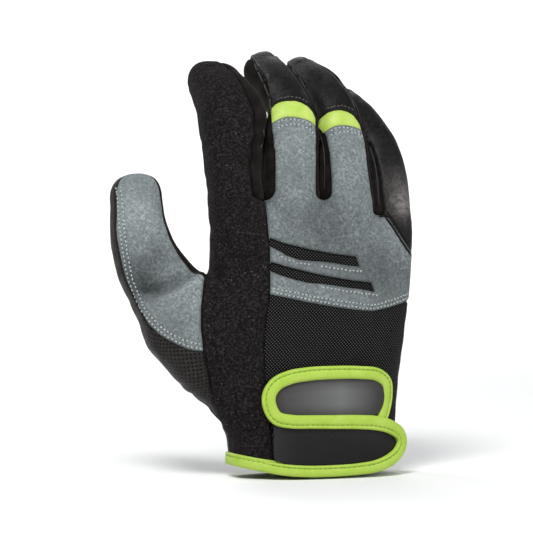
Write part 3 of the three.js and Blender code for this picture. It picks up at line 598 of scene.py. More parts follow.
def build_fields():
    """Name and field of each panel, in the order in which they are cut."""
    def back(k):
        return lambda s: least(lane(s.c[k], back_left(k, s.c[k]["s"]), BACK_RIGHT), near(s, k, 2.5))

    def in_band(band):
        def f(s):
            u, z = flat(s)
            return least(read_line(band[0], u) - z, z - read_line(band[1], u))
        return f

    def over_band(band):
        def f(s):
            u, z = flat(s)
            return z - read_line(band[1], u)
        return f

    def fourchette(left, right, x_mid, z_low, share_l, share_r, left_high):
        def f(s):
            a = smin(lane(s.c[left], left_high, 126), past(s.c[left], share_l, left), 5)
            low = back_left(right, s.c[right]["s"])
            b = smin(lane(s.c[right], -126, low), past(s.c[right], share_r, right), 5)
            q = s.p0
            floor = q[:, 2] - (z_low + 5) + np.clip((q[:, 1] - 4) * 2, 0, 14)
            a = least(a, near(s, left, 0.6), floor)
            b = least(b, near(s, right, 0.6), floor)
            web = smin(smin(3.4 - np.abs(q[:, 0] - x_mid), floor, 4), 10.5 - np.abs(q[:, 1]), 2)
            web = smin(web, z_low + 13 - q[:, 2], 3)
            u, z = flat(s)
            return np.maximum(np.maximum(a, b), np.maximum(web, least(opening(left, u, z), below(s, 4))))
        return f

    def pad(k):
        def f(s):
            g = s.c[k]
            wide = 54 * np.clip((g["s"] - 0.6) / 0.16, 0.05, 1) ** 0.5
            leaf = (wide - np.abs(turned(g) - INNER)) * np.radians(1) * g["r"]
            return least(smin(leaf, past(g, 0.63, k), 3), near(s, k, 3))
        return f

    def fleece_plain(s):
        u, z = flat(s)
        return read_line(FLEECE_EDGE, z, 1) - u

    thumb_line = path(seen([(8, 262), (21.5, 262), (26.5, 274), (35, 291.5), (43.5, 303.5), (53.5, 312.5),
                            (66.7, 320), (80, 325), (92, 326.4), (110, 327)]), 60)

    def thumb_side(s):
        u, z = flat(s)
        front = read_line(THUMB_EDGE, z, 1) - u
        return np.where(s.p0[:, 1] < 4, front, -59.5 - s.p0[:, 0])

    def thumb_back(s):
        u, z = flat(s)
        return least(lane(s.c["thumb"], -68, 50), z - read_line(thumb_line, u), thumb_side(s))

    def thumb_strip(s):
        return least(lane(s.c["thumb"], 48, 80), s.p0[:, 2] - 92, thumb_side(s))

    def thumb_inner(s):
        return least(lane(s.c["thumb"], 78, 186), s.p0[:, 2] - 84 + 0.25 * (s.p0[:, 0] + 60), thumb_side(s))

    def fleece(s):
        body = least(fleece_plain(s), below(s, 2), 139 - s.p0[:, 2])
        finger = least(lane(s.c["index"], -108, 21), past(s.c["index"], 0.1, "index"), near(s, "index", 4))
        return smax(body, finger, 1.5)

    def pinky_back(s):
        u, z = flat(s)
        body = least(z - read_line(PINKY_SEAM, u), u - 30, below(s, -6))
        g = s.c["pinky"]
        finger = least(lane(g, back_left("pinky", g["s"]), 104), past(g, 0.24, "pinky"), near(s, "pinky", 4))
        return smax(body, finger, 1.5)

    def knuckle(s):
        u, z = flat(s)
        body = least(z - read_line(KNEE, u), 147 - z, below(s, 1))
        for k in ("middle", "ring"):
            g = s.c[k]
            finger = least(lane(g, back_left(k, g["s"]), BACK_RIGHT), past(g, 0.06, k), near(s, k, 3))
            body = smax(body, finger, 1.5)
        return body

    def back_mesh(s):
        u, z = flat(s)
        return least(below(s, -6), read_line(SIDE_SEAM, z, 1) - u, s.p0[:, 0] + 40, 98 - s.p0[:, 2])

    def slot(name):
        def f(s):
            u, z = flat(s)
            return least(inside(np.stack([u, z], 1), SLOTS[name]), below(s, 0), -fleece_plain(s))
        return f

    def both(first, second):
        return lambda s: least(first(s), second(s))

    return [
        *((name, slot(name)) for name in SLOTS),
        ("middle_knuckle_band", both(back("middle"), in_band(MIDDLE_BAND))),
        ("ring_knuckle_band", both(back("ring"), in_band(RING_BAND))),
        ("middle_tip_back", both(back("middle"), over_band(MIDDLE_BAND))),
        ("ring_tip_back", both(back("ring"), over_band(RING_BAND))),
        ("fourchette_index_middle", fourchette("index", "middle", -25.3, 138, 0.3, 0.28, 21)),
        ("fourchette_middle_ring", fourchette("middle", "ring", 3.3, 138, 0.28, 0.28, BACK_RIGHT)),
        ("fourchette_ring_pinky", fourchette("ring", "pinky", 30.4, 130, 0.132, 0.25, BACK_RIGHT)),
        *((k + "_pad", pad(k)) for k in FINGERS),
        ("thumb_back_panel", thumb_back),
        ("thumb_inner_strip", thumb_strip),
        ("thumb_inner_panel", thumb_inner),
        ("thumb_palm", thumb_side),
        ("index_back_panel", fleece),
        ("pinky_back_panel", pinky_back),
        ("knuckle_panel", knuckle),
        ("back_mesh_panel", back_mesh),
    ]


# Folds on the back of the whole skin: line, height and width of each fold in mm
FOLDS = [
    (seen([(44, 287), (55, 283.3), (70, 277.5), (83.3, 268.3), (92, 262)]), 2.6, 2.7),
    (seen([(41, 278), (52, 275), (64, 269.5), (73, 264.5)]), -2.9, 3.3),
    (seen([(36, 297), (50, 303), (68, 306), (84, 303)]), -0.5, 4.0),
    (seen([(140, 200), (141, 240), (141, 285), (138.6, 310), (138, 345)]), -0.45, 0.9),
    (seen([(84, 300), (100, 297), (118, 300)]), 0.35, 5.0),
    (seen([(100, 206), (112, 211), (126, 209)]), -0.45, 4.0),
    (seen([(98, 345), (112, 350), (128, 346)]), -0.4, 5.0),
    (seen([(150, 216), (172, 222), (196, 219)]), 0.3, 5.0),
]
# Creases across the palm side of a digit: digit, share, tilt, depth, width
CREASES = [
    ("index", 0.3, 0.01, 1.1, 0.024), ("index", 0.37, -0.01, 0.7, 0.018), ("index", 0.56, 0.012, 0.9, 0.02),
    ("middle", 0.3, -0.01, 1.0, 0.022), ("middle", 0.38, 0.012, 0.8, 0.018), ("middle", 0.57, 0.0, 0.9, 0.02),
    ("ring", 0.28, 0.012, 1.0, 0.024), ("ring", 0.36, -0.012, 0.8, 0.018), ("ring", 0.55, 0.01, 0.9, 0.02),
    ("pinky", 0.3, -0.01, 0.9, 0.024), ("pinky", 0.4, 0.012, 0.7, 0.02), ("pinky", 0.57, 0.0, 0.8, 0.022),
    ("thumb", 0.5, 0.03, 0.9, 0.026), ("thumb", 0.58, -0.03, 0.8, 0.022), ("thumb", 0.42, 0.04, 0.9, 0.028),
]


def field_noise(p, size, seed, depth=2):
    off = Vector((seed * 13.1, seed * 7.7, seed * 3.3))
    return np.array([noise.fractal(Vector(q) / size + off, 0.7, 2.0, depth) for q in p])


def fold(s):
    """Moves the plain skin into soft folds, in mm along its normals."""
    u, z = flat(s)
    q = np.stack([u, z], 1)
    facing = -(s.n @ AHEAD)
    move = 0.5 * field_noise(s.p0, 20, 1) + 0.16 * field_noise(s.p0, 6.5, 2, 1)
    for line, height, width in FOLDS:
        d2 = np.min([off_segment(q, a, b) for a, b in zip(line[:-1], line[1:])], axis=0)
        move = move + height * np.exp(-d2 / width**2) * np.clip(facing * 2.0, 0, 1)
    for k, share, tilt, depth, width in CREASES:
        g = s.c[k]
        deg = turned(g)
        across = np.clip(1 - np.abs(deg - INNER) / 105, 0, 1) ** 0.7
        wave = share + tilt * np.sin(np.radians(deg) * 1.7 + share * 20)
        move = move - depth * np.exp(-(((g["s"] - wave) / width) ** 2)) * across * np.clip(g["mine"] / 3 + 0.3, 0, 1)
    return move


FOURCHETTES = ("fourchette_index_middle", "fourchette_middle_ring", "fourchette_ring_pinky")
# How each panel lies: how far it stands out, how it crowns, how deep its seams pull in and its lip, in mm
LIE = {
    "knuckle_panel": (0.5, 0.25, 0.55, 0.1), "index_back_panel": (0.1, 0.5, 0.9, 0.15),
    "back_mesh_panel": (-0.2, 0.15, 0.25, 0.0), "thumb_back_panel": (0.35, 0.35, 0.7, 0.12),
    "palm_panel": (0.0, 0.2, 0.6, 0.2), "thumb_palm": (0.0, 0.25, 0.6, 0.15),
    **dict.fromkeys(SLOTS, (-0.95, 0.05, 0.1, 0.0)),
    **dict.fromkeys(("middle_knuckle_band", "ring_knuckle_band"), (0.3, 0.3, 0.5, 0.0)),
    **dict.fromkeys(("middle_tip_back", "ring_tip_back"), (0.15, 0.4, 0.75, 0.25)),
    **dict.fromkeys(FOURCHETTES, (-0.2, 0.3, 0.6, 0.0)),
    **dict.fromkeys((k + "_pad" for k in FINGERS), (0.1, 0.5, 0.8, 0.35)),
}


def group_of(s, size_limit=0.02):
    """Drops crumbs: keeps the connected parts that hold most of the triangles."""
    label = np.arange(len(s.p))
    for _ in range(400):
        m = label[s.t].min(1)
        new = label.copy()
        for j in range(3):
            np.minimum.at(new, s.t[:, j], m)
        new = new[new]
        if (new == label).all():
            break
        label = new
    tri = label[s.t[:, 0]]
    ids, counts = np.unique(tri, return_counts=True)
    return s.take(s.t[np.isin(tri, ids[counts > size_limit * counts.max()])])


def border_edges(t):
    """Edges with a triangle on one side only."""
    e = np.vstack([t[:, [0, 1]], t[:, [1, 2]], t[:, [2, 0]]])
    key = np.sort(e, axis=1)
    _, first, count = np.unique(key, axis=0, return_index=True, return_counts=True)
    return e[first[count == 1]]


def edge_distance(s):
    """How far each point is from the panel's edge, and the edge itself."""
    e = border_edges(s.t)
    pts = np.vstack([s.p[e[:, 0]], (s.p[e[:, 0]] + s.p[e[:, 1]]) / 2])
    tree = KDTree(len(pts))
    for i, q in enumerate(pts):
        tree.insert(q, i)
    tree.balance()
    return np.array([tree.find(q)[2] for q in s.p]), e


OUTER = []


def walled(s, e, wall):
    """A sheet with its own inner side behind it and a rim between them."""
    n = len(s.p)
    side = np.vstack([np.stack([e[:, 1], e[:, 0], n + e[:, 0]], 1), np.stack([e[:, 1], n + e[:, 0], n + e[:, 1]], 1)])
    return np.vstack([s.p, s.p - s.n * wall]), np.vstack([s.t, s.t[:, ::-1] + n, side])


def seated(name, s):
    """The panel as a closed body: crowned, its seams pulled in, with its wall behind it."""
    dist, e = edge_distance(s)
    lift, crown, dip, lip = LIE.get(name, (0.0, 0.35, 0.6, 0.1))
    move = lift + crown * (1 - np.exp(-((dist / 4.0) ** 2))) - dip * np.exp(-((dist / 0.9) ** 2))
    move = move + lip * np.exp(-(((dist - 1.7) / 0.9) ** 2))
    s.edge = dist
    s.p = s.p + s.n * move[:, None]
    OUTER.append((s.p.copy(), s.t))
    return walled(s, e, WALL)


def cloth_of(s):
    """Coordinates in mm that run along the panel's own cloth, and the distance from its edge."""
    u = s.c["body"]["around"].copy()
    v = s.p0[:, 2].copy()
    for k in DIGITS:
        g = s.c[k]
        m = g["mine"] > 0
        u[m] = (np.radians(turned(g, -150)) * np.mean(DIGITS[k].hw[:LAST]))[m]
        v[m] = g["len"][m] + 108
    return np.stack([u, v, s.edge], 1)


# Painted light and shade on the back: spots where the suede is painted lighter where light falls and darker where shade
# falls, and painted highlights on the leather and tape: place, radius, share
SUEDE_PAINTED_LIGHT_AND_SHADE = [
    (41, 269, 15, -0.68), (51, 276.5, 6, -0.3), (60, 273, 6, -0.36), (70, 268.5, 6, -0.36), (80, 263.5, 5, -0.32),
    (46, 290, 5, 0.26), (56, 286.5, 5, 0.36), (65, 282.5, 5, 0.38), (74, 277.5, 5, 0.38), (83, 271, 5, 0.36),
    (91, 265, 4, 0.3), (30, 258, 13, -0.32), (50, 247, 13, -0.42), (28, 205, 22, 0.32),
    (76, 292, 12, 0.05), (70, 303, 10, -0.12), (196, 226, 34, -0.42), (244, 262, 26, -0.4), (160, 214, 16, -0.12),
    (214, 252, 20, -0.1), (164, 150, 18, 0.08), (206, 158, 18, 0.03),
]
# Painted highlights: lighter spots where light catches the leather and the tape
PAINTED_HIGHLIGHTS = [
    (261, 190, 16, 6.4), (264, 208, 11, 3.8), (138, 88, 6, 2.4), (147, 103, 6, 2.4), (160, 82, 10, 0.8),
    (174, 90, 6, 1.8), (179, 106, 5, 1.6), (194, 88, 9, 0.5), (105, 122, 20, 0.45), (118, 427, 14, 0.4),
]


def painted_light_of(s, spots):
    """How much lighter or darker each point is painted than its panel: painted light and shade, on the faces that look
    ahead.
    """
    u, z = flat(s)
    front = np.clip(-(s.n @ AHEAD) * 2 + 0.4, 0, 1)
    tone = np.ones(len(u))
    for a, b, r, k in spots:
        d2 = ((u - (a - MIDDLE) * STEP) ** 2 + (z - (FOOT - b) * STEP) ** 2) / (r * STEP) ** 2
        tone = tone * (1 + k * np.exp(-d2) * front)
    return tone


def rounded_mesh(name, v, f):
    me = make_mesh(name, v, f)
    me.polygons.foreach_set("use_smooth", np.ones(len(me.polygons), bool))
    return me


def piece(name, v, f, material, replaces=(), cloth=None, tone=None):
    """A piece of the glove in one material, with the nodes that it stands for."""
    me = rounded_mesh(name, v, f)
    if cloth is not None:
        at = me.attributes.new("cloth", "FLOAT_VECTOR", "POINT")
        at.data.foreach_set("vector", cloth.astype(np.float32).ravel())
    # The tone attribute holds painted light and shade, 1 where none is painted
    at = me.attributes.new("tone", "FLOAT", "POINT")
    at.data.foreach_set("value", (np.ones(len(me.vertices)) if tone is None else tone).astype(np.float32))
    ob = bpy.data.objects.new(name, me)
    bpy.context.scene.collection.objects.link(ob)
    me.materials.append(material)
    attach(ob, "root")
    for node in replaces:
        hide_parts(node)


# Materials

class Look:
    """A material built node by node. Sizes are in mm."""

    def __init__(self, name, rough=0.6, specular=0.3, sheen=0.0, sheen_rough=0.5, tint=(1, 1, 1)):
        self.m = bpy.data.materials.new(name)
        self.m.use_nodes = True
        self.t = self.m.node_tree
        self.b = self.t.nodes["Principled BSDF"]
        self.give(self.b, {"Roughness": rough, "Specular IOR Level": specular, "Sheen Weight": sheen,
                           "Sheen Roughness": sheen_rough, "Sheen Tint": (*tint, 1)})
        self.where = self.add("ShaderNodeTexCoord").outputs["Object"]
        self.cloth_node = None
        self.normal = None

    def add(self, kind, **props):
        n = self.t.nodes.new(kind)
        for k, v in props.items():
            setattr(n, k, v)
        return n

    def give(self, node, values):
        for key, value in values.items():
            node.inputs[key].default_value = value

    def feed(self, socket, value):
        if hasattr(value, "is_linked"):
            self.t.links.new(value, socket)
        else:
            socket.default_value = value

    def cloth(self):
        if self.cloth_node is None:
            self.cloth_node = self.add("ShaderNodeAttribute", attribute_type="GEOMETRY", attribute_name="cloth")
        return self.cloth_node.outputs["Vector"]

    def split(self, vector):
        n = self.add("ShaderNodeSeparateXYZ")
        self.feed(n.inputs[0], vector)
        return n.outputs

    def math(self, op, a, b=0.0, clamp=False):
        n = self.add("ShaderNodeMath", operation=op, use_clamp=clamp)
        self.feed(n.inputs[0], a)
        self.feed(n.inputs[1], b)
        return n.outputs[0]

    def noise(self, size, detail=3.0, rough=0.6, distort=0.0, stretch=None):
        n = self.add("ShaderNodeTexNoise")
        v = self.where
        if stretch is not None:
            mp = self.add("ShaderNodeMapping")
            self.feed(mp.inputs["Vector"], v)
            mp.inputs["Scale"].default_value = stretch
            v = mp.outputs[0]
        self.feed(n.inputs["Vector"], v)
        self.give(n, {"Scale": 1 / (size * MM), "Detail": detail, "Roughness": rough, "Distortion": distort})
        return n.outputs["Fac"]

    def cells(self, size, feature="F1", random=1.0, vector=None, turn=0.0):
        v = self.where if vector is None else vector
        unit_scale = 1000.0 if vector is None else 1.0
        mp = self.add("ShaderNodeMapping")
        self.feed(mp.inputs["Vector"], v)
        mp.inputs["Rotation"].default_value = (0, 0, turn)
        n = self.add("ShaderNodeTexVoronoi", feature=feature)
        if vector is not None:
            n.voronoi_dimensions = "2D"
        self.feed(n.inputs["Vector"], mp.outputs[0])
        self.give(n, {"Scale": unit_scale / size, "Randomness": random})
        return n.outputs["Distance"]

    def ramp(self, fac, *stops):
        n = self.add("ShaderNodeValToRGB")
        self.feed(n.inputs[0], fac)
        e = n.color_ramp.elements
        while len(e) < len(stops):
            e.new(0.5)
        for el, (pos, c) in zip(e, stops):
            el.position = pos
            el.color = (*c, 1) if hasattr(c, "__len__") else (c, c, c, 1)
        return n.outputs[0]

    def mix(self, fac, a, b):
        n = self.add("ShaderNodeMix", data_type="RGBA")
        self.feed(n.inputs[0], fac)
        self.feed(n.inputs[6], a if hasattr(a, "is_linked") else (*a, 1))
        self.feed(n.inputs[7], b if hasattr(b, "is_linked") else (*b, 1))
        return n.outputs[2]

    def bump(self, height, depth, strength=1.0):
        n = self.add("ShaderNodeBump")
        self.give(n, {"Strength": strength, "Distance": depth * MM})
        self.feed(n.inputs["Height"], height)
        if self.normal is not None:
            self.t.links.new(self.normal, n.inputs["Normal"])
        self.normal = n.outputs[0]
        return self

    def color(self, value):
        self.feed(self.b.inputs["Base Color"], value)
        return self

    def rough(self, value):
        self.feed(self.b.inputs["Roughness"], value)
        return self

    def done(self):
        if self.normal is not None:
            self.t.links.new(self.normal, self.b.inputs["Normal"])
        return self.m

    def lattice(self, pitch):
        """A woven lattice, 0 in its holes and 1 on its threads. Neighbouring rows are half a step apart."""
        mp = self.add("ShaderNodeMapping")
        self.feed(mp.inputs["Vector"], self.cloth())
        k = 2 * math.pi / pitch
        mp.inputs["Scale"].default_value = (k, k, k)
        x, y, _ = self.split(mp.outputs[0])
        wave = self.math("MULTIPLY", self.math("SINE", x), self.math("SINE", y))
        n = self.add("ShaderNodeMath", operation="MULTIPLY_ADD")
        self.feed(n.inputs[0], wave)
        n.inputs[1].default_value = 0.5
        n.inputs[2].default_value = 0.5
        return n.outputs[0]

    def tone(self, color):
        """The colour, lighter or darker by the panel's painted light and shade, which its tone attribute holds."""
        n = self.add("ShaderNodeAttribute", attribute_type="GEOMETRY", attribute_name="tone")
        m = self.add("ShaderNodeVectorMath", operation="SCALE")
        self.feed(m.inputs[0], color)
        self.feed(m.inputs["Scale"], n.outputs["Fac"])
        return m.outputs[0]

    def edge(self, width):
        """1 at the panel's edge, 0 from width mm inwards."""
        d = self.split(self.cloth())[2]
        return self.math("SUBTRACT", 1.0, self.math("DIVIDE", d, width), clamp=True)

    def part(self, value, share):
        return self.math("MULTIPLY", value, share)

    # Painted shade: darker towards the panel's edge, where it dips into its seam
    def painted_seam_shade(self, color, width, share, dark):
        return self.mix(self.part(self.edge(width), share), color, dark)

    def across(self):
        """0 at the closure's left end, 1 at its right end."""
        x = self.split(self.cloth())[0]
        return self.math("DIVIDE", self.math("ADD", x, 30.0), 62.0, clamp=True)


def fleece_look():
    k = Look("fleece", 1.0, 0.03, 0.04, 0.4, (0.8, 0.78, 0.8))
    pile = k.noise(1.15, 4, 0.75)
    clump = k.noise(3.4, 3, 0.6, 0.5)
    patch = k.noise(15, 2, 0.5)
    c = k.ramp(pile, (0.36, (0.0025, 0.002, 0.002)), (0.5, (0.0125, 0.0105, 0.0108)), (0.66, (0.044, 0.04, 0.04)))
    c = k.mix(k.ramp(clump, (0.4, 0.0), (0.62, 0.4)), c, (0.007, 0.006, 0.0061))
    c = k.mix(k.part(patch, 0.22), c, (0.016, 0.014, 0.0143))
    spot = k.cells(2.0)
    pick = k.noise(2.4, 1, 0.5)
    fleck = k.part(k.math("LESS_THAN", spot, 0.13), k.math("GREATER_THAN", pick, 0.6))
    c = k.mix(k.part(fleck, 0.5), c, (0.26, 0.26, 0.26))
    # Painted shade along the seams
    c = k.painted_seam_shade(c, 1.6, 0.75, (0.002, 0.002, 0.002))
    return k.color(c).bump(clump, 0.7, 0.5).bump(pile, 0.7, 0.9).done()


def cloth_look():
    k = Look("soft_cloth", 0.95, 0.05, 0.05, 0.4, (0.9, 0.8, 0.75))
    knit = k.noise(0.7, 3, 0.6)
    soft = k.noise(6, 2, 0.5)
    c = k.ramp(soft, (0.35, (0.0075, 0.006, 0.0056)), (0.68, (0.0185, 0.0152, 0.0142)))
    c = k.mix(k.part(knit, 0.6), c, (0.0045, 0.0038, 0.0036))
    # Painted shade along the seams
    c = k.painted_seam_shade(c, 1.8, 0.7, (0.0015, 0.0014, 0.0014))
    return k.color(c).bump(soft, 0.3, 0.3).bump(knit, 0.16, 0.6).done()


def suede_look():
    k = Look("suede", 0.97, 0.06, 0.06, 0.4, (0.9, 0.95, 0.95))
    nap = k.noise(1.35, 4, 0.8)
    brush = k.noise(4.6, 4, 0.65, 0.9)
    broad = k.noise(19, 2, 0.5)
    c = k.ramp(nap, (0.34, (0.078, 0.092, 0.095)), (0.5, (0.192, 0.218, 0.221)), (0.68, (0.36, 0.4, 0.403)))
    c = k.mix(k.ramp(brush, (0.38, 0.0), (0.66, 0.6)), c, (0.128, 0.147, 0.15))
    c = k.mix(k.ramp(broad, (0.38, 0.0), (0.64, 0.34)), c, (0.11, 0.126, 0.129))
    # Painted shade along the seams
    c = k.painted_seam_shade(c, 1.2, 0.5, (0.05, 0.058, 0.06))
    # k.tone adds the painted light and shade of the tone attribute
    return k.color(k.tone(c)).bump(brush, 0.4, 0.4).bump(nap, 0.4, 0.8).done()


def mesh_look():
    k = Look("mesh", 0.75, 0.08)
    wave = k.lattice(1.7)
    yarn = k.noise(0.7, 2, 0.6)
    c = k.ramp(wave, (0.4, (0.0008, 0.0008, 0.0008)), (0.72, (0.0048, 0.0046, 0.0048)), (0.96, (0.135, 0.13, 0.132)))
    c = k.mix(k.part(k.noise(7, 2, 0.5), 0.45), c, (0.005, 0.005, 0.0052))
    return k.color(c).bump(yarn, 0.06, 0.5).bump(wave, 0.4, 0.8).done()


def grain(k, size=0.95, depth=0.16):
    """Fine leather grain with soft wrinkles."""
    cell = k.cells(size, "SMOOTH_F1")
    wrinkle = k.noise(3.6, 4, 0.6, 1.5)
    k.bump(wrinkle, 0.42, 0.42).bump(cell, depth, 0.7)
    return wrinkle


def leather_look(name, tone=1.0, rough=0.42, size=0.95, specular=0.16):
    k = Look(name, rough, specular)
    wrinkle = grain(k, size)
    c = k.ramp(wrinkle, (0.34, (0.0065 * tone, 0.0058 * tone, 0.0058 * tone)),
               (0.66, (0.019 * tone, 0.0175 * tone, 0.0172 * tone)))
    # Painted shade along the seams
    c = k.painted_seam_shade(c, 1.2, 0.6, (0.002, 0.002, 0.002))
    k.rough(k.ramp(k.noise(7, 3, 0.6), (0.3, rough - 0.07), (0.7, rough + 0.12)))
    # k.tone adds the painted highlights of the tone attribute
    return k.color(k.tone(c)).done()


def perforated_look():
    k = Look("palm_leather", 0.5, 0.16)
    hole = k.cells(1.6, random=0.0, vector=k.cloth(), turn=math.radians(45))
    dot = k.add("ShaderNodeMapRange", interpolation_type="SMOOTHSTEP")
    k.feed(dot.inputs["Value"], hole)
    k.give(dot, {"From Min": 0.2, "From Max": 0.42})
    solid = dot.outputs[0]
    wrinkle = grain(k, 0.9, 0.1)
    c = k.ramp(wrinkle, (0.34, (0.015, 0.0125, 0.0118)), (0.66, (0.037, 0.031, 0.029)))
    c = k.mix(k.part(k.noise(14, 2, 0.5), 0.5), c, (0.012, 0.0105, 0.0102))
    c = k.mix(solid, (0.0015, 0.0015, 0.0015), c)
    # Painted shade along the seams
    c = k.painted_seam_shade(c, 1.2, 0.6, (0.002, 0.002, 0.002))
    k.bump(solid, 0.55, 0.85)
    k.rough(k.ramp(k.noise(6, 3, 0.6), (0.3, 0.42), (0.7, 0.62)))
    return k.color(c).done()


def lime_look(name, a, b, rough=0.5):
    k = Look(name, rough, 0.2)
    tone = k.noise(8, 3, 0.55, 0.6)
    fine = k.noise(0.6, 2, 0.5)
    c = k.ramp(tone, (0.3, a), (0.7, b))
    c = k.mix(k.part(fine, 0.12), c, (0.8, 0.9, 0.45))
    # k.tone adds the painted highlights of the tone attribute
    return k.color(k.tone(c)).bump(k.noise(3.2, 3, 0.55, 0.8), 0.22, 0.4).bump(fine, 0.06, 0.5).done()


def reflective_look():
    k = Look("reflective", 0.5, 0.2)
    d = k.split(k.cloth())[2]
    rim = k.math("DIVIDE", d, 7.0, clamp=True)
    # Painted reflection: lighter towards the right of the middle, darker at both ends
    c = k.ramp(k.across(), (0.0, (0.034, 0.033, 0.033)), (0.3, (0.062, 0.06, 0.06)), (0.7, (0.132, 0.134, 0.135)),
               (0.86, (0.085, 0.085, 0.086)), (1.0, (0.035, 0.035, 0.035)))
    # Painted shade: darker within 7 mm of the panel's edge, inside the binding
    c = k.mix(k.ramp(rim, (0.0, 0.85), (1.0, 0.0)), c, (0.03, 0.029, 0.029))
    weave = k.noise(0.5, 2, 0.5)
    return k.color(c).bump(k.noise(6, 2, 0.5), 0.2, 0.3).bump(weave, 0.05, 0.5).done()


def rubber_look():
    k = Look("tab_rubber", 0.4, 0.16)
    grain(k, 0.85, 0.26)
    # Painted sheen: lighter towards the tab's left end, darker to the right
    c = k.ramp(k.across(), (0.0, (0.04, 0.038, 0.038)), (0.35, (0.012, 0.0115, 0.012)), (1.0, (0.005, 0.005, 0.0055)))
    c = k.mix(k.part(k.noise(5, 3, 0.6), 0.5), c, (0.007, 0.007, 0.007))
    return k.color(c).done()


def puck_look():
    k = Look("puck_plastic", 0.3, 0.5)
    streak = k.noise(3.4, 4, 0.7, 0.2, stretch=(1.0, 1.0, 0.05))
    fine = k.noise(0.9, 3, 0.7, 0.1, stretch=(1.0, 1.0, 0.03))
    cloud = k.noise(46, 3, 0.55, 0.6)
    pit = k.cells(7.5)
    c = k.ramp(cloud, (0.35, (0.0085, 0.0067, 0.0064)), (0.7, (0.0175, 0.0132, 0.012)))
    worn = k.ramp(cloud, (0.5, 0.0), (0.66, 1.0))
    scuff = k.part(k.ramp(streak, (0.56, 0.0), (0.74, 1.0)), worn)
    c = k.mix(k.part(scuff, 0.4), c, (0.06, 0.05, 0.046))
    r = k.ramp(cloud, (0.35, 0.24), (0.7, 0.34))
    k.rough(k.mix(scuff, r, (0.5, 0.5, 0.5)))
    k.bump(cloud, 0.9, 0.12).bump(fine, 0.012, 0.4).bump(k.ramp(pit, (0.0, 0.0), (0.05, 1.0)), 0.08, 0.5)
    return k.color(c).done()


def pile_look():
    k = Look("hook_pad", 1.0, 0.15, 0.2)
    f = k.noise(0.8, 4, 0.8)
    c = k.ramp(f, (0.35, (0.003, 0.003, 0.003)), (0.7, (0.03, 0.028, 0.028)))
    return k.color(c).bump(f, 0.5, 0.9).done()


def thread_look(name, c, dark):
    k = Look(name, 0.55, 0.4)
    ply = k.noise(0.45, 2, 0.6)
    return k.color(k.ramp(ply, (0.3, dark), (0.65, c))).bump(ply, 0.12, 0.7).done()


MATS = {
    "palm_leather": perforated_look(),
    "smooth_leather": leather_look("smooth_leather", 0.62, 0.42, specular=0.12),
    "pad_leather": leather_look("pad_leather", 1.3, 0.36, 0.8, 0.34),
    "fleece": fleece_look(),
    "suede": suede_look(),
    "mesh": mesh_look(),
    "lime_band": lime_look("lime_band", (0.33, 0.49, 0.052), (0.44, 0.56, 0.12), 0.45),
    "lime_binding": lime_look("lime_binding", (0.3, 0.475, 0.026), (0.38, 0.53, 0.066), 0.5),
    "reflective": reflective_look(),
    "tab_rubber": rubber_look(),
    "puck_plastic": puck_look(),
    "hook_pad": pile_look(),
}
PALE = thread_look("pale_thread", (0.5, 0.545, 0.545), (0.2, 0.225, 0.225))
SOFT = cloth_look()
# Near-black cords laid along the gaps between the lobes, as painted shade
PAINTED_GAP_SHADE = thread_look("painted_gap_shade", (0.0012, 0.0011, 0.0011), (0.0008, 0.0008, 0.0008))
# Cords along the leather edges, lighter than the leather, as painted highlights
PAINTED_EDGE_HIGHLIGHT = thread_look("painted_edge_highlight", (0.05, 0.048, 0.047), (0.026, 0.025, 0.025))
SOFT_PANELS = (*FOURCHETTES, "thumb_inner_strip")
DARK = thread_look("dark_thread", (0.022, 0.02, 0.02), (0.006, 0.006, 0.006))
LIME = thread_look("lime_thread", (0.55, 0.78, 0.1), (0.3, 0.45, 0.04))
GREY = thread_look("grey_thread", (0.1, 0.1, 0.1), (0.03, 0.03, 0.03))
SLOT = {s["node"]: s["material_slot"] for s in frame["record"]["subparts"]}

p, t = base_skin()
whole = Skin(p, p.copy(), normals_of(p, t), t, read_all(p))
whole.p = whole.p + RIGHT * shift_at(whole.p @ RIGHT, whole.p[:, 2])[:, None]
whole.n = normals_of(whole.p, whole.t)
whole.p = whole.p + whole.n * fold(whole)[:, None]
whole.n = normals_of(whole.p, whole.t)


def hem_height(s):
    """Height above the lower edge of the panels, which the hem's tape covers."""
    row = hand_row(s.p0[:, 2])
    a = row[:, 1] * PALM_W / 2
    return s.p0[:, 2] - (BIND_H - HEM_DROP - 2.2) - 0.9 * HEM_RISE * ((s.p0[:, 0] - row[:, 0] * PALM_W) / a) ** 2


whole, _ = whole.split(hem_height(whole))
left = whole
panels = {}
for name, field in build_fields():
    part, left = left.split(field(left))
    panels[name] = group_of(part)
panels["palm_panel"] = group_of(left)

for name, s in panels.items():
    v, f = seated(name, s)
    c = cloth_of(s)
    look = SOFT if name in SOFT_PANELS else MATS[SLOT[name]]
    # Painted light and shade on the suede, painted highlights on the other panels
    tone = painted_light_of(s, SUEDE_PAINTED_LIGHT_AND_SHADE if SLOT[name] == "suede" else PAINTED_HIGHLIGHTS)
    piece(name + "_skin", v, f, look, [name], np.vstack([c, c]), np.concatenate([tone, tone]))

skin_bvh = BVHTree.FromPolygons(*(a.tolist() for a in joined(OUTER)))


def laid(starts, ways, times, reach=1e6):
    """Places and normals where rays meet the skin, smoothed along their line."""
    pos, nor = [], []
    for start, way in zip(starts, ways):
        hit, n, _, _ = skin_bvh.ray_cast(Vector(start), Vector(way), reach)
        if hit is not None:
            n = np.array(n)
            pos.append(np.array(hit))
            nor.append(n if n @ way < 0 else -n)
    return smoothed(np.array(pos), times), unit(smoothed(np.array(nor), 3))


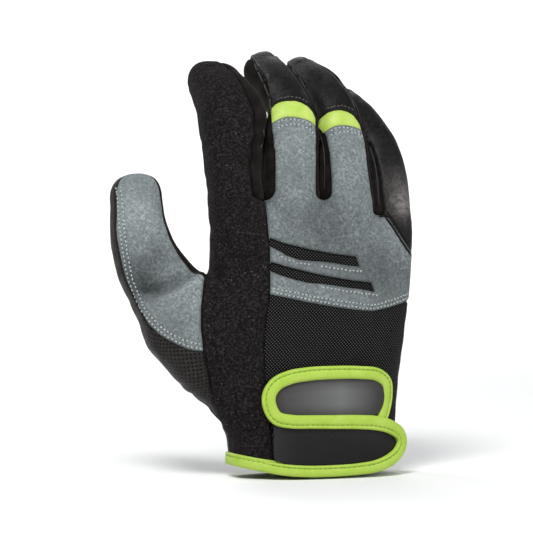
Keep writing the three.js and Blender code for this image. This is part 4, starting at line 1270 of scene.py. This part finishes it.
def cast(line, palm=False, spacing=0.8):
    """Lays a line that is drawn in the seen plane on the skin. Gives places and normals."""
    way = -AHEAD if palm else AHEAD
    right = -RIGHT if palm else RIGHT
    length = np.linalg.norm(np.diff(line, axis=0), axis=1).sum()
    q = path(line, max(int(length / spacing), 4))
    return laid([right * a + np.array([0, 0, b]) - way * 300 for a, b in q], [way] * len(q), 1)


def smoothed(a, times=1):
    """A line with its corners taken off. Its ends stay."""
    a = a.copy()
    if len(a) < 3:
        return a
    for _ in range(times):
        a[1:-1] = 0.25 * a[:-2] + 0.5 * a[1:-1] + 0.25 * a[2:]
    return a


def round_digit(k, deg, low, high, spacing=0.8):
    """A line along a digit at an angle from its back, laid on the skin. deg may be a pair, first to last."""
    d = DIGITS[k]
    n = max(int((high - low) * d.run[LAST] / spacing), 4)
    share = np.linspace(low, high, n)
    a = np.radians(np.linspace(*(deg if hasattr(deg, "__len__") else (deg, deg)), n))
    get = lambda arr: np.stack([np.interp(share, d.share, arr[:, j]) for j in range(3)], 1)
    c, w, dd = get(d.c), get(d.w), get(d.d)
    c = c + RIGHT * shift_at(c @ RIGHT, c[:, 2])[:, None]
    r = (np.interp(share, d.share, d.hw) + np.interp(share, d.share, d.hd)) / 2
    out = unit(w * np.sin(a)[:, None] - dd * np.cos(a)[:, None])
    return laid(c + out * (r[:, None] + 3.5), -out, 2, 12)


def resampled(pos, nor, pitch, start):
    """Places, normals and directions at even steps along a line."""
    s = np.concatenate([[0], np.cumsum(np.linalg.norm(np.diff(pos, axis=0), axis=1))])
    at = np.arange(start, s[-1], pitch)
    get = lambda arr: np.stack([np.interp(at, s, arr[:, j]) for j in range(3)], 1)
    q, n = get(pos), unit(get(nor))
    ahead = unit(get(np.gradient(pos, axis=0)))
    return q, n, ahead


STITCHES = {}


def stitch(thread, pos, nor, pitch=2.3, length=1.55, radius=0.36, sink=0.1):
    """Adds a row of stitches, none of them quite straight. A line that misses the skin gets no stitch."""
    if len(pos) < 4:
        return
    q, n, ahead = resampled(pos, nor, pitch, pitch / 2)
    hand = np.random.default_rng(len(pos))
    side = np.cross(n, ahead)
    q = q + side * hand.normal(0, 0.1, (len(q), 1)) + ahead * hand.normal(0, 0.12, (len(q), 1))
    ahead = unit(ahead + side * hand.normal(0, 0.14, (len(q), 1)))
    STITCHES.setdefault(thread, []).append((q + n * (radius * 0.25 - sink), n, ahead, length, radius))


def capsule_mesh(rows):
    """Every stitch of one thread in one mesh: short rounded bars that dip at both ends."""
    sides, rings = 6, 5
    turn = np.arange(sides) / sides * 2 * np.pi
    v_all, f_all, base = [], [], 0
    for q, n, ahead, length, radius in rows:
        side = unit(np.cross(ahead, n))
        jitter = rng.normal(0, 0.05, len(q))
        ahead2 = unit(ahead + side * jitter[:, None])
        side2 = unit(np.cross(ahead2, n))
        tpos = np.array([-0.5, -0.4, 0.0, 0.4, 0.5])
        rad = np.array([0.35, 0.85, 1.0, 0.85, 0.35]) * radius
        low = np.array([-0.55, -0.12, 0.12, -0.12, -0.55]) * radius
        for i in range(len(q)):
            vs = [q[i] + ahead2[i] * (-0.55 * length) - n[i] * radius * 0.8]
            for r in range(rings):
                c = q[i] + ahead2[i] * (tpos[r] * length) + n[i] * low[r]
                vs.extend(c + side2[i] * (np.cos(a) * rad[r]) + n[i] * (np.sin(a) * rad[r]) for a in turn)
            vs.append(q[i] + ahead2[i] * (0.55 * length) - n[i] * radius * 0.8)
            v_all.extend(vs)
            for j in range(sides):
                j2 = (j + 1) % sides
                f_all.append((base, base + 1 + j2, base + 1 + j))
                for r in range(rings - 1):
                    a, b = base + 1 + r * sides, base + 1 + (r + 1) * sides
                    f_all.append((a + j, a + j2, b + j2))
                    f_all.append((a + j, b + j2, b + j))
                a = base + 1 + (rings - 1) * sides
                f_all.append((a + j, a + j2, base + 1 + rings * sides))
            base += 2 + rings * sides
    return np.array(v_all), np.array(f_all)


def swept(rows, mid):
    """A closed tube through rows of points that run beside its middle line, with a fan at both ends."""
    m, n = len(rows), len(mid)
    i = np.arange(n - 1)
    f = []
    for j in range(m):
        a, b = j * n, (j + 1) % m * n
        f += [np.stack([a + i, b + i, b + i + 1], 1), np.stack([a + i, b + i + 1, a + i + 1], 1),
              np.array([(m * n, b, a), (m * n + 1, a + n - 1, b + n - 1)])]
    return np.vstack([*rows, mid[:1], mid[-1:]]), np.vstack(f)


def tube_mesh(pos, nor, radius, lift, sides=8):
    """A rounded cord along a line, tapered into the skin at both ends."""
    tan = unit(np.gradient(pos, axis=0))
    side = unit(np.cross(tan, nor))
    n = len(pos)
    k = np.arange(n)
    ends = np.minimum(np.minimum(k, n - 1 - k) / 3.0, 1.0)
    r = radius * (0.3 + 0.7 * np.sqrt(ends))
    c = pos + nor * (lift - (1 - ends) * radius)[:, None]
    turns = np.arange(sides) / sides * 2 * np.pi
    return swept([c + side * (np.cos(a) * r)[:, None] + nor * (np.sin(a) * r)[:, None] for a in turns], c)


CORDS = {}


def cord(group, pos, nor, radius, lift=0.0):
    """Adds a raised seam. Several of one look make one piece."""
    if len(pos) >= 4:
        CORDS.setdefault(group, []).append(tube_mesh(pos, nor, radius, lift))


# Rows of stitches and raised seams on the back

def lowered(line, by):
    """A line moved by so many mm square to itself, in the seen plane."""
    t = unit(np.gradient(line, axis=0))
    return line + np.stack([-t[:, 1], t[:, 0]], 1) * by


def sewn(pos, nor, pitch=2.15, length=1.35, radius=0.42):
    """A pale row with the dark holes of its needle between the stitches."""
    stitch(PALE, pos, nor, pitch, length, radius)
    q, n, ahead = resampled(pos, nor, pitch, pitch)
    STITCHES.setdefault(DARK, []).append((q - n * 0.02, n, ahead, 0.5, 0.27))


knee = path(KNEE[1:-1], 60)
for by in (1.35, 3.3):
    sewn(*cast(lowered(knee, by)))
SEWN = [
    ([(152.1, 132.6), (156.4, 130.4), (165, 129.2), (173.6, 130.8), (180, 133.2), (183.6, 136.4)], 0.42),
    ([(152.1, 137.1), (157.9, 135), (165.7, 133.6), (173.6, 135), (181, 138), (184.2, 142.5), (185, 146)], 0.42),
    ([(198.2, 139.2), (203.5, 137), (209.3, 136.2), (216.4, 137), (225, 140.6)], 0.42),
    ([(198.2, 142.9), (205, 140.4), (210.7, 139.6), (217.9, 140.3), (227, 143.8)], 0.42),
    ([(189.3, 254.8), (200, 256.6), (211, 258.4), (227.5, 260)], 0.42),
    ([(152, 243.6), (160, 248.4), (170, 252), (180, 253.6)], 0.3),
    ([(190.7, 272.6), (200.7, 274.6), (210.7, 276.4), (222.1, 278), (238.5, 280.6)], 0.42),
]
for line, radius in SEWN:
    sewn(*cast(seen(line)), radius=radius)
for line in ([(152, 112.6), (158, 110.4), (166, 109.6), (174, 111.4), (180, 115)],
             [(195, 119.6), (202, 117.6), (208, 117), (214, 118.2), (219.5, 121.2)]):
    stitch(GREY, *cast(seen(line)), pitch=1.9, length=1.3)

cord("welt", *cast(seen([(139.6, 202), (140.6, 222), (140.8, 240), (140.8, 262), (141, 281), (138.4, 301),
                         (137, 322), (137.4, 342)])), 0.5, -0.12)
for band in (MIDDLE_BAND, RING_BAND):
    cord("piping", *cast(band[0][1:-1] + (0, 0.35)), 0.5, 0.05)
cord("piping", *cast(seen([(244.3, 210.5), (250, 218.5), (260, 234), (269.6, 248)])), 0.62, 0.1)
cord("piping", *cast(seen([(246.6, 206.9), (253, 216.4), (262, 230), (269.4, 241.5)])), 0.5, 0.05)
stitch(DARK, *cast(seen([(245.6, 208.4), (252, 217.6), (261, 231.8), (269.4, 244.6)])), pitch=2.2)

# Finger seams beside the leather backs, with lighter cords along the leather edges as painted highlights, and inside
# the openings between the fingers, raised ridges and near-black cords along the gaps as painted shade
for k in ("middle", "ring"):
    for low, high in ((0.6, 0.7), (0.7, 0.8), (0.8, 0.9), (0.9, 1.0)):
        cord("edge", *round_digit(k, (back_left(k, low) + 1, back_left(k, high) + 1), low, high), 0.4, 0.06)
    cord("seam", *round_digit(k, 43, 0.6, 1.05), 0.42, 0.08)
    stitch(DARK, *round_digit(k, (back_left(k, 0.8) + 8, back_left(k, 1) + 8), 0.8, 1.0), pitch=2.2, radius=0.3)
cord("edge", *round_digit("pinky", -51, 0.6, 1.04), 0.4, 0.06)
stitch(DARK, *round_digit("pinky", -43, 0.3, 1.0), pitch=2.3, radius=0.3)
GAPS = [
    ([(141.2, 136), (141.6, 150), (141.4, 170), (141.2, 186), (141.8, 193)],
     [(143.2, 146), (143.4, 170), (143.2, 190)]),
    ([(187.6, 134), (191.2, 146), (193.4, 160), (193.6, 176), (193.2, 192)],
     [(186.6, 136), (189.4, 146), (191.6, 160), (191.9, 176), (191.6, 188), (192.6, 195)]),
    ([(232.6, 150), (236.4, 162), (239.2, 178), (240.2, 192), (240.9, 206)],
     [(234.6, 162), (237.4, 178), (238.6, 192), (239.6, 206)]),
]
# In each pair the dark line is painted shade in the gap, and the bright one a raised ridge
for dark, bright in GAPS:
    cord("gap", *cast(seen(dark)), 0.62, -0.05)
    cord("ridge", *cast(seen(bright)), 0.85, 0.1)
for u, v in ((264.7, 206.4), (259.3, 166.4), (242.9, 133.3)):
    q, n = cast(seen([(u, v - 0.7), (u, v), (u + 0.1, v + 0.5), (u + 0.1, v + 0.9)]))
    stitch(DARK, q, n, pitch=0.8, length=0.5, radius=0.45, sink=0.0)

# Thumb: double rows down the outer edge and along the lower edge of the suede
outer = path(seen([(14.5, 187), (16, 198), (17.4, 215), (19.4, 232), (22, 249), (25, 264), (29.6, 277), (35.6, 290.5),
                   (44.2, 302.4), (54, 311.2), (67, 318.8), (80, 323.8), (88, 325)]), 110)
for by in (0.7, 2.9):
    sewn(*cast(lowered(outer, by)))
cord("piping", *round_digit("thumb", 51, 0.42, 1.02), 0.6, 0.0)
cord("piping", *round_digit("thumb", 80, 0.42, 1.0), 0.5, 0.0)

# Palm side
for k in FINGERS:
    for deg in ((112, 126), (248, 234)):
        cord("seam", *round_digit(k, deg, 0.2, 0.66), 0.4, 0.0)
    for deg in (127, 233):
        cord("seam", *round_digit(k, deg, 0.7, 1.0), 0.42, 0.05)
        stitch(GREY, *round_digit(k, deg + (6 if deg < 180 else -6), 0.7, 0.98), pitch=2.1, radius=0.28)
for deg in (88, 96):
    stitch(PALE, *round_digit("thumb", deg + 90, 0.3, 1.0), pitch=2.1, radius=0.32)
HEEL = [
    [(284, 290), (288, 286), (296, 283.5), (303, 285), (308, 289)],
    [(284, 293), (289, 289), (297, 286.6), (303, 288)],
    [(284, 303), (296, 304.5), (308, 305)], [(284, 308), (296, 314), (309, 321)],
    [(290, 338), (302, 336.4), (314, 335)], [(290, 341), (303, 348), (317, 355)],
    [(297, 366), (308, 367.4), (320, 367)], [(297, 368), (309, 375), (323, 382)],
    [(298, 372), (301.5, 382), (306, 389), (313, 392), (325, 389)],
    [(301, 371), (304.5, 380), (308.5, 386), (314, 388.8), (325, 386)],
]
for line in HEEL:
    stitch(LIME, *cast(seen_palm(line), True), pitch=2.0, length=1.45, radius=0.33)
for line in ([(286, 262), (300, 224), (316, 193), (330, 172), (352, 150)], [(297, 204), (306, 188), (322, 170)]):
    cord("seam", *cast(seen_palm(line), True), 0.42, 0.0)
    stitch(GREY, *cast(seen_palm(line) + (1.4, -0.6), True), pitch=2.2, radius=0.28)


# Hem binding

def hem_binding():
    """The bound edge of the wrist: a tape folded over the wall, and the groove that its stitches lie in."""
    sides = 260
    ring = hand_ring(-HEM_DROP, sides)
    nxt = np.roll(ring, -1, axis=0) - np.roll(ring, 1, axis=0)
    nxt[:, 2] = 0
    out = unit(np.stack([nxt[:, 1], -nxt[:, 0], 0 * nxt[:, 0]], 1))
    half = WALL / 2 + BIND_T
    mid = -WALL / 2
    top = mid + half
    section = [(top - 0.7, BIND_H + 0.1), (top - 0.05, BIND_H - 0.05), (top + 0.15, BIND_H - 0.6),
               (top + 0.1, BIND_H - 1.2), (top - 0.12, BIND_H - 1.55), (top - 0.12, BIND_H - 1.75),
               (top + 0.12, BIND_H - 2.1), (top + 0.35, BIND_H - 3.0), (top + 0.38, 2.2), (top + 0.2, 1.1),
               (top - 0.35, 0.35), (mid, 0.0), (mid - half + 0.5, 0.3), (mid - half, 1.2), (mid - half, BIND_H - 0.4),
               (mid - half + 0.4, BIND_H), (mid, BIND_H - 0.2)]
    rows = [ring + out * a + np.array([0, 0, b]) for a, b in section]
    n, m = sides, len(rows)
    i = np.arange(n)
    j = (i + 1) % n
    f = []
    for r in range(m):
        q = (r + 1) % m
        f.append(np.stack([r * n + i, q * n + i, q * n + j, r * n + j], 1))
    groove = ring + out * (top - 0.1) + np.array([0, 0, BIND_H - 1.65])
    return np.vstack(rows), np.vstack(f), groove, unit(out)


v, f, groove, groove_out = hem_binding()
piece("hem_binding_tape", v, f, MATS["lime_binding"], ["hem_binding"])
loop = lambda a: np.vstack([a, a[:1]])
HEM_THREAD = thread_look("hem_thread", (0.26, 0.42, 0.03), (0.12, 0.2, 0.02))
stitch(HEM_THREAD, loop(groove), loop(groove_out), pitch=2.6, length=1.7, radius=0.26, sink=0.0)


# Closure

def strap_point(x, z, lift):
    """A place on the closure, which goes round the back of the wrist and straight off at both sides."""
    row = hand_row(z)
    a = row[:, 1] * PALM_W / 2 + STRAP_REACH + lift
    b = row[:, 2] * BACK_D + lift
    u = np.abs(x - row[:, 0] * PALM_W) / a
    bent = np.minimum(u, STRAP_BEND)
    n = SQUARE_STRAP
    slope = STRAP_BEND ** (n - 1) * (1 - STRAP_BEND**n) ** (1 / n - 1)
    y = -b * ((1 - bent**n) ** (1 / n) - slope * (u - bent))
    return np.stack([x, y, z], 1)


def strap_at(q, lift):
    """Points of the seen plane, laid on the closure's curved surface in a few steps, with their normals."""
    x = (q[:, 0] - 6.2) / 0.94
    z = q[:, 1]
    for _ in range(12):
        p3 = strap_point(x, z, lift)
        x = x + (q[:, 0] - p3 @ RIGHT) / 0.94
        x = np.clip(x, -60, 56.0)
    e = 0.3
    dx = strap_point(x + e, z, lift) - strap_point(x - e, z, lift)
    dz = strap_point(x, z + e, lift) - strap_point(x, z - e, lift)
    return strap_point(x, z, lift), unit(np.cross(dx, dz))


S_CENTRE = path(seen([(242.5, 391), (246.5, 380), (248.8, 366), (247, 355), (239.5, 348.8), (224, 346.3), (200, 345.6),
                      (178, 346.5), (163, 349), (151.5, 354.6), (145.8, 363.5), (146.6, 374.5), (152.4, 383.4),
                      (164, 386.4), (182, 387.2), (200, 387.8), (222, 388.6), (240, 390.6), (251, 394.5), (258.6, 401),
                      (260.4, 409), (256.4, 417.5), (248.6, 423.2), (238, 427), (222, 428.8), (200, 429.6),
                      (180, 429.4), (160, 427.8), (148, 425.9), (139, 424.2)]), 360)


def strap_binding():
    """The one tape that edges the oval and the lower tab, and the groove beside its outer rim."""
    n = len(S_CENTRE)
    k = np.arange(n)
    lift = STRAP_LOW + 1.5
    pos, nor = strap_at(S_CENTRE, lift)
    over = np.interp(k, [0, 22, 50, n - 26, n - 12, n - 1], [-1.9, -1.6, 0.0, 0.0, -1.6, -4.6])
    pos = smoothed(pos + nor * over[:, None], 3)
    tan = unit(np.gradient(pos, axis=0))
    side = unit(np.cross(tan, nor))
    half = np.interp(k, [0, 60, 120, 170, 220, 262, 290, n - 1], [3.3, 3.3, 3.6, 3.4, 3.7, 3.3, 2.9, 2.9])
    thick = 1.5
    section = [(-1.0, -0.2), (-0.99, 0.55), (-0.9, 0.9), (-0.74, 1.06), (-0.6, 1.0), (-0.5, 0.72), (-0.42, 0.72),
               (-0.32, 1.0), (-0.1, 1.14), (0.3, 1.18), (0.66, 1.06), (0.9, 0.78), (1.0, 0.2), (0.93, -0.8),
               (0, -1.0), (-0.93, -0.8)]
    rows = [pos - side * (a * half)[:, None] + nor * (b * thick) for a, b in section]
    v, f = swept(rows, pos)
    groove = pos + side * (0.46 * half)[:, None] + nor * (0.74 * thick)
    return v, f[:, ::-1], groove, nor


v, f, groove, groove_out = strap_binding()
piece("strap_binding_tape", v, f, MATS["lime_binding"], ["strap_binding"])
stitch(HEM_THREAD, groove[18:-8], groove_out[18:-8], pitch=2.7, length=1.8, radius=0.28, sink=0.0)


def inset_panel(name, outline, lift, crown, slot, pitch=0.8):
    """A padded panel inside the binding of the closure."""
    o = np.asarray(outline)
    x = np.arange(o[:, 0].min() - 2, o[:, 0].max() + 2, pitch)
    z = np.arange(o[:, 1].min() - 2, o[:, 1].max() + 2, pitch)
    gx, gz = np.meshgrid(x, z)
    q = np.stack([gx.ravel(), gz.ravel()], 1)
    w = len(x)
    i = (np.arange(len(z) - 1)[:, None] * w + np.arange(w - 1)[None, :]).ravel()
    t = np.vstack([np.stack([i, i + 1, i + w + 1], 1), np.stack([i, i + w + 1, i + w], 1)])
    pos, nor = strap_at(q, lift)
    s = Skin(np.stack([q[:, 0], 0 * q[:, 0], q[:, 1]], 1), pos, nor, t, {})
    part, _ = s.split(inside(q, o))
    part = group_of(part)
    dist, e = edge_distance(part)
    wave = 0.12 * field_noise(part.p, 9, 5, 1)
    part.p = part.p + part.n * (crown * (1 - np.exp(-((dist / 5.0) ** 2))) + wave)[:, None]
    v, tri = walled(part, e, 1.3)
    cl = np.stack([part.p0[:, 0], part.p0[:, 2], dist], 1)
    piece(name, v, tri, MATS[slot], [name.replace("_panel", "")], np.vstack([cl, cl]))


OVAL_IN = path(seen([(149, 366), (150.5, 359), (156, 354), (166, 351.4), (182, 350.2), (200, 349.8), (220, 350.4),
                     (238, 352.4), (245, 357), (246, 366), (244, 375), (239.5, 382), (230, 385), (215, 385),
                     (180, 384), (157, 382.6), (151, 376)]), 90, closed=True)
TAB_IN = path(seen([(150.5, 389.6), (165, 390.4), (180, 390.6), (200, 390.8), (225, 392), (240, 394), (251.5, 398),
                    (256.6, 404.6), (256.4, 411), (253, 418), (246.6, 422.4), (238, 424), (225, 425.4), (200, 427.4),
                    (180, 426.6), (166, 424.6), (157, 421.6), (150.6, 418.6), (150, 412), (150, 400)]), 90, closed=True)
inset_panel("closure_tab_panel", OVAL_IN, STRAP_LOW + 1.3, 0.6, "reflective")
inset_panel("wrist_tab_panel", TAB_IN, STRAP_LOW + 1.0, 0.7, "tab_rubber")


# Puck

def puck_ring(inset, height):
    """The puck's outline, so far in from its rim, at a depth behind the palm."""
    hw, hh = PUCK_W / 2 - inset, PUCK_H / 2 - inset
    r = max(PUCK_CORNER - inset * 0.8, 1.0)
    pts = []
    for side in range(4):
        cx = (1 if side in (0, 3) else -1) * (hw - r)
        cz = (1 if side < 2 else -1) * (hh - r)
        for i in range(17):
            a = (side + i / 16) * math.pi / 2
            pts.append((cx + r * math.cos(a), cz + r * math.sin(a)))
        nx = (1 if (side + 1) % 4 in (0, 3) else -1) * (hw - r)
        nz = (1 if (side + 1) % 4 < 2 else -1) * (hh - r)
        a = (side + 1) * math.pi / 2
        x0, z0 = pts[-1]
        x1, z1 = nx + r * math.cos(a), nz + r * math.sin(a)
        for i in range(1, 14):
            pts.append((x0 + (x1 - x0) * i / 14, z0 + (z1 - z0) * i / 14))
    q = np.array(pts)
    a = math.radians(-PUCK_TILT)
    x = q[:, 0] * math.cos(a) - q[:, 1] * math.sin(a) + PUCK_MID
    z = q[:, 0] * math.sin(a) + q[:, 1] * math.cos(a) + PUCK_FOOT + PUCK_H / 2
    return np.stack([x, np.full(len(q), height), z], 1)


def puck():
    rings = [puck_ring(1.6, PUCK_BASE), puck_ring(0.5, PUCK_BASE + 0.5), puck_ring(0, PUCK_BASE + 1.4)]
    rings += [puck_ring(0, PUCK_BASE + 1.4 + k * 1.9) for k in range(1, 4)]
    for k in range(11):
        a = k / 10 * math.pi / 2
        rings.append(puck_ring(PUCK_EDGE * (1 - math.cos(a)), PUCK_BASE + PUCK_T - PUCK_EDGE * (1 - math.sin(a))))
    last = rings[-1]
    mid = last.mean(0)
    for k in range(1, 24):
        rings.append(mid + (last - mid) * (1 - k / 24))
    v, f = skin_mesh(rings)
    return v, f[:, ::-1]


v, f = puck()
piece("puck_body", v, f, MATS["puck_plastic"], ["puck"])
rings = [puck_ring(2.6, PALM_D - 0.6), puck_ring(1.6, PALM_D + 0.2), puck_ring(1.6, PUCK_BASE - 0.6),
         puck_ring(2.4, PUCK_BASE - 0.1)]
v, f = skin_mesh(rings)
piece("puck_backing_pad", v, f[:, ::-1], MATS["hook_pad"], ["puck_backing"])

# One piece for each thread, and for each look of the raised seams
for thread, rows in STITCHES.items():
    v, f = capsule_mesh(rows)
    piece("stitches_" + thread.name, v, f, thread)
# The gap cords are painted shade, and the edge cords painted highlights
CORD_LOOKS = {"piping": MATS["smooth_leather"], "seam": MATS["pad_leather"], "ridge": SOFT, "welt": MATS["fleece"],
              "gap": PAINTED_GAP_SHADE, "edge": PAINTED_EDGE_HIGHLIGHT}
for group, look in CORD_LOOKS.items():
    v, f = joined(CORDS[group])
    off_edge = np.full((len(v), 3), 5.0)
    piece(group + "_cord", v, f, look, (), off_edge)


# Floor, light and camera

def floor():
    """A floor that curves up into a backdrop far behind."""
    prof = [(-3500, 0.0), (2400, 0.0)]
    prof += [(2400 + 700 * math.sin(a), 700 - 700 * math.cos(a)) for a in np.linspace(0.1, math.pi / 2, 12)]
    prof += [(3100, 3000.0)]
    turn = math.radians(20)
    v = []
    for d, h in prof:
        for across in (-3500, 3500):
            x = across * math.cos(turn) + d * math.sin(turn)
            y = -across * math.sin(turn) + d * math.cos(turn)
            v.append((x, y, h - HEM_DROP - 1.0))
    f = [(2 * i, 2 * i + 1, 2 * i + 3, 2 * i + 2) for i in range(len(prof) - 1)]
    me = rounded_mesh("floor", np.array(v), np.array(f))
    ob = bpy.data.objects.new("floor", me)
    bpy.context.scene.collection.objects.link(ob)
    k = Look("floor", 0.9, 0.1)
    c = k.ramp(k.noise(400, 2, 0.5), (0.3, (0.85, 0.85, 0.85)), (0.7, (0.88, 0.88, 0.88)))
    me.materials.append(k.color(c).done())
    ob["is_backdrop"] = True


floor()
scene = bpy.context.scene
scene.view_settings.view_transform = "Standard"
world = bpy.data.worlds.new("world")
scene.world = world
world.use_nodes = True
sky = world.node_tree.nodes["Background"].inputs
sky["Color"].default_value = (0.96, 0.98, 1.0, 1)
sky["Strength"].default_value = 0.36


def light(name, place, aim, size, power):
    d = bpy.data.lights.new(name, "AREA")
    d.shape = "DISK"
    d.size = size
    d.energy = power
    ob = bpy.data.objects.new(name, d)
    scene.collection.objects.link(ob)
    ob.location = place
    ob.rotation_euler = (Vector(aim) - Vector(place)).to_track_quat("-Z", "Y").to_euler()


# Name, place, aim, size in m and power in W
LIGHTS = [
    ("key", (-0.55, -0.8, 1.15), (-0.02, 0, 0.11), 0.45, 17),
    ("fill", (0.8, -0.9, 0.5), (0, 0, 0.1), 0.9, 4.5),
    ("palm", (-0.5, 1.3, 1.2), (0, 0, 0.1), 0.5, 8),
    ("backdrop", (0.5, 1.9, 1.9), (0.95, 2.8, 0.1), 1.2, 34),
]
for row in LIGHTS:
    light(*row)

cam = bpy.data.cameras.new("cam")
cam.lens = 200
cam.sensor_width = 36
cam_ob = bpy.data.objects.new("cam", cam)
scene.collection.objects.link(cam_ob)
az, el, dist = math.radians(-20), math.radians(1.5), 1.5
aim = Vector((-0.026, 0.0, 0.104))
cam_ob.location = aim + dist * Vector((math.sin(az) * math.cos(el), -math.cos(az) * math.cos(el), math.sin(el)))
cam_ob.rotation_euler = (aim - cam_ob.location).to_track_quat("-Z", "Y").to_euler()
scene.camera = cam_ob

low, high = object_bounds()
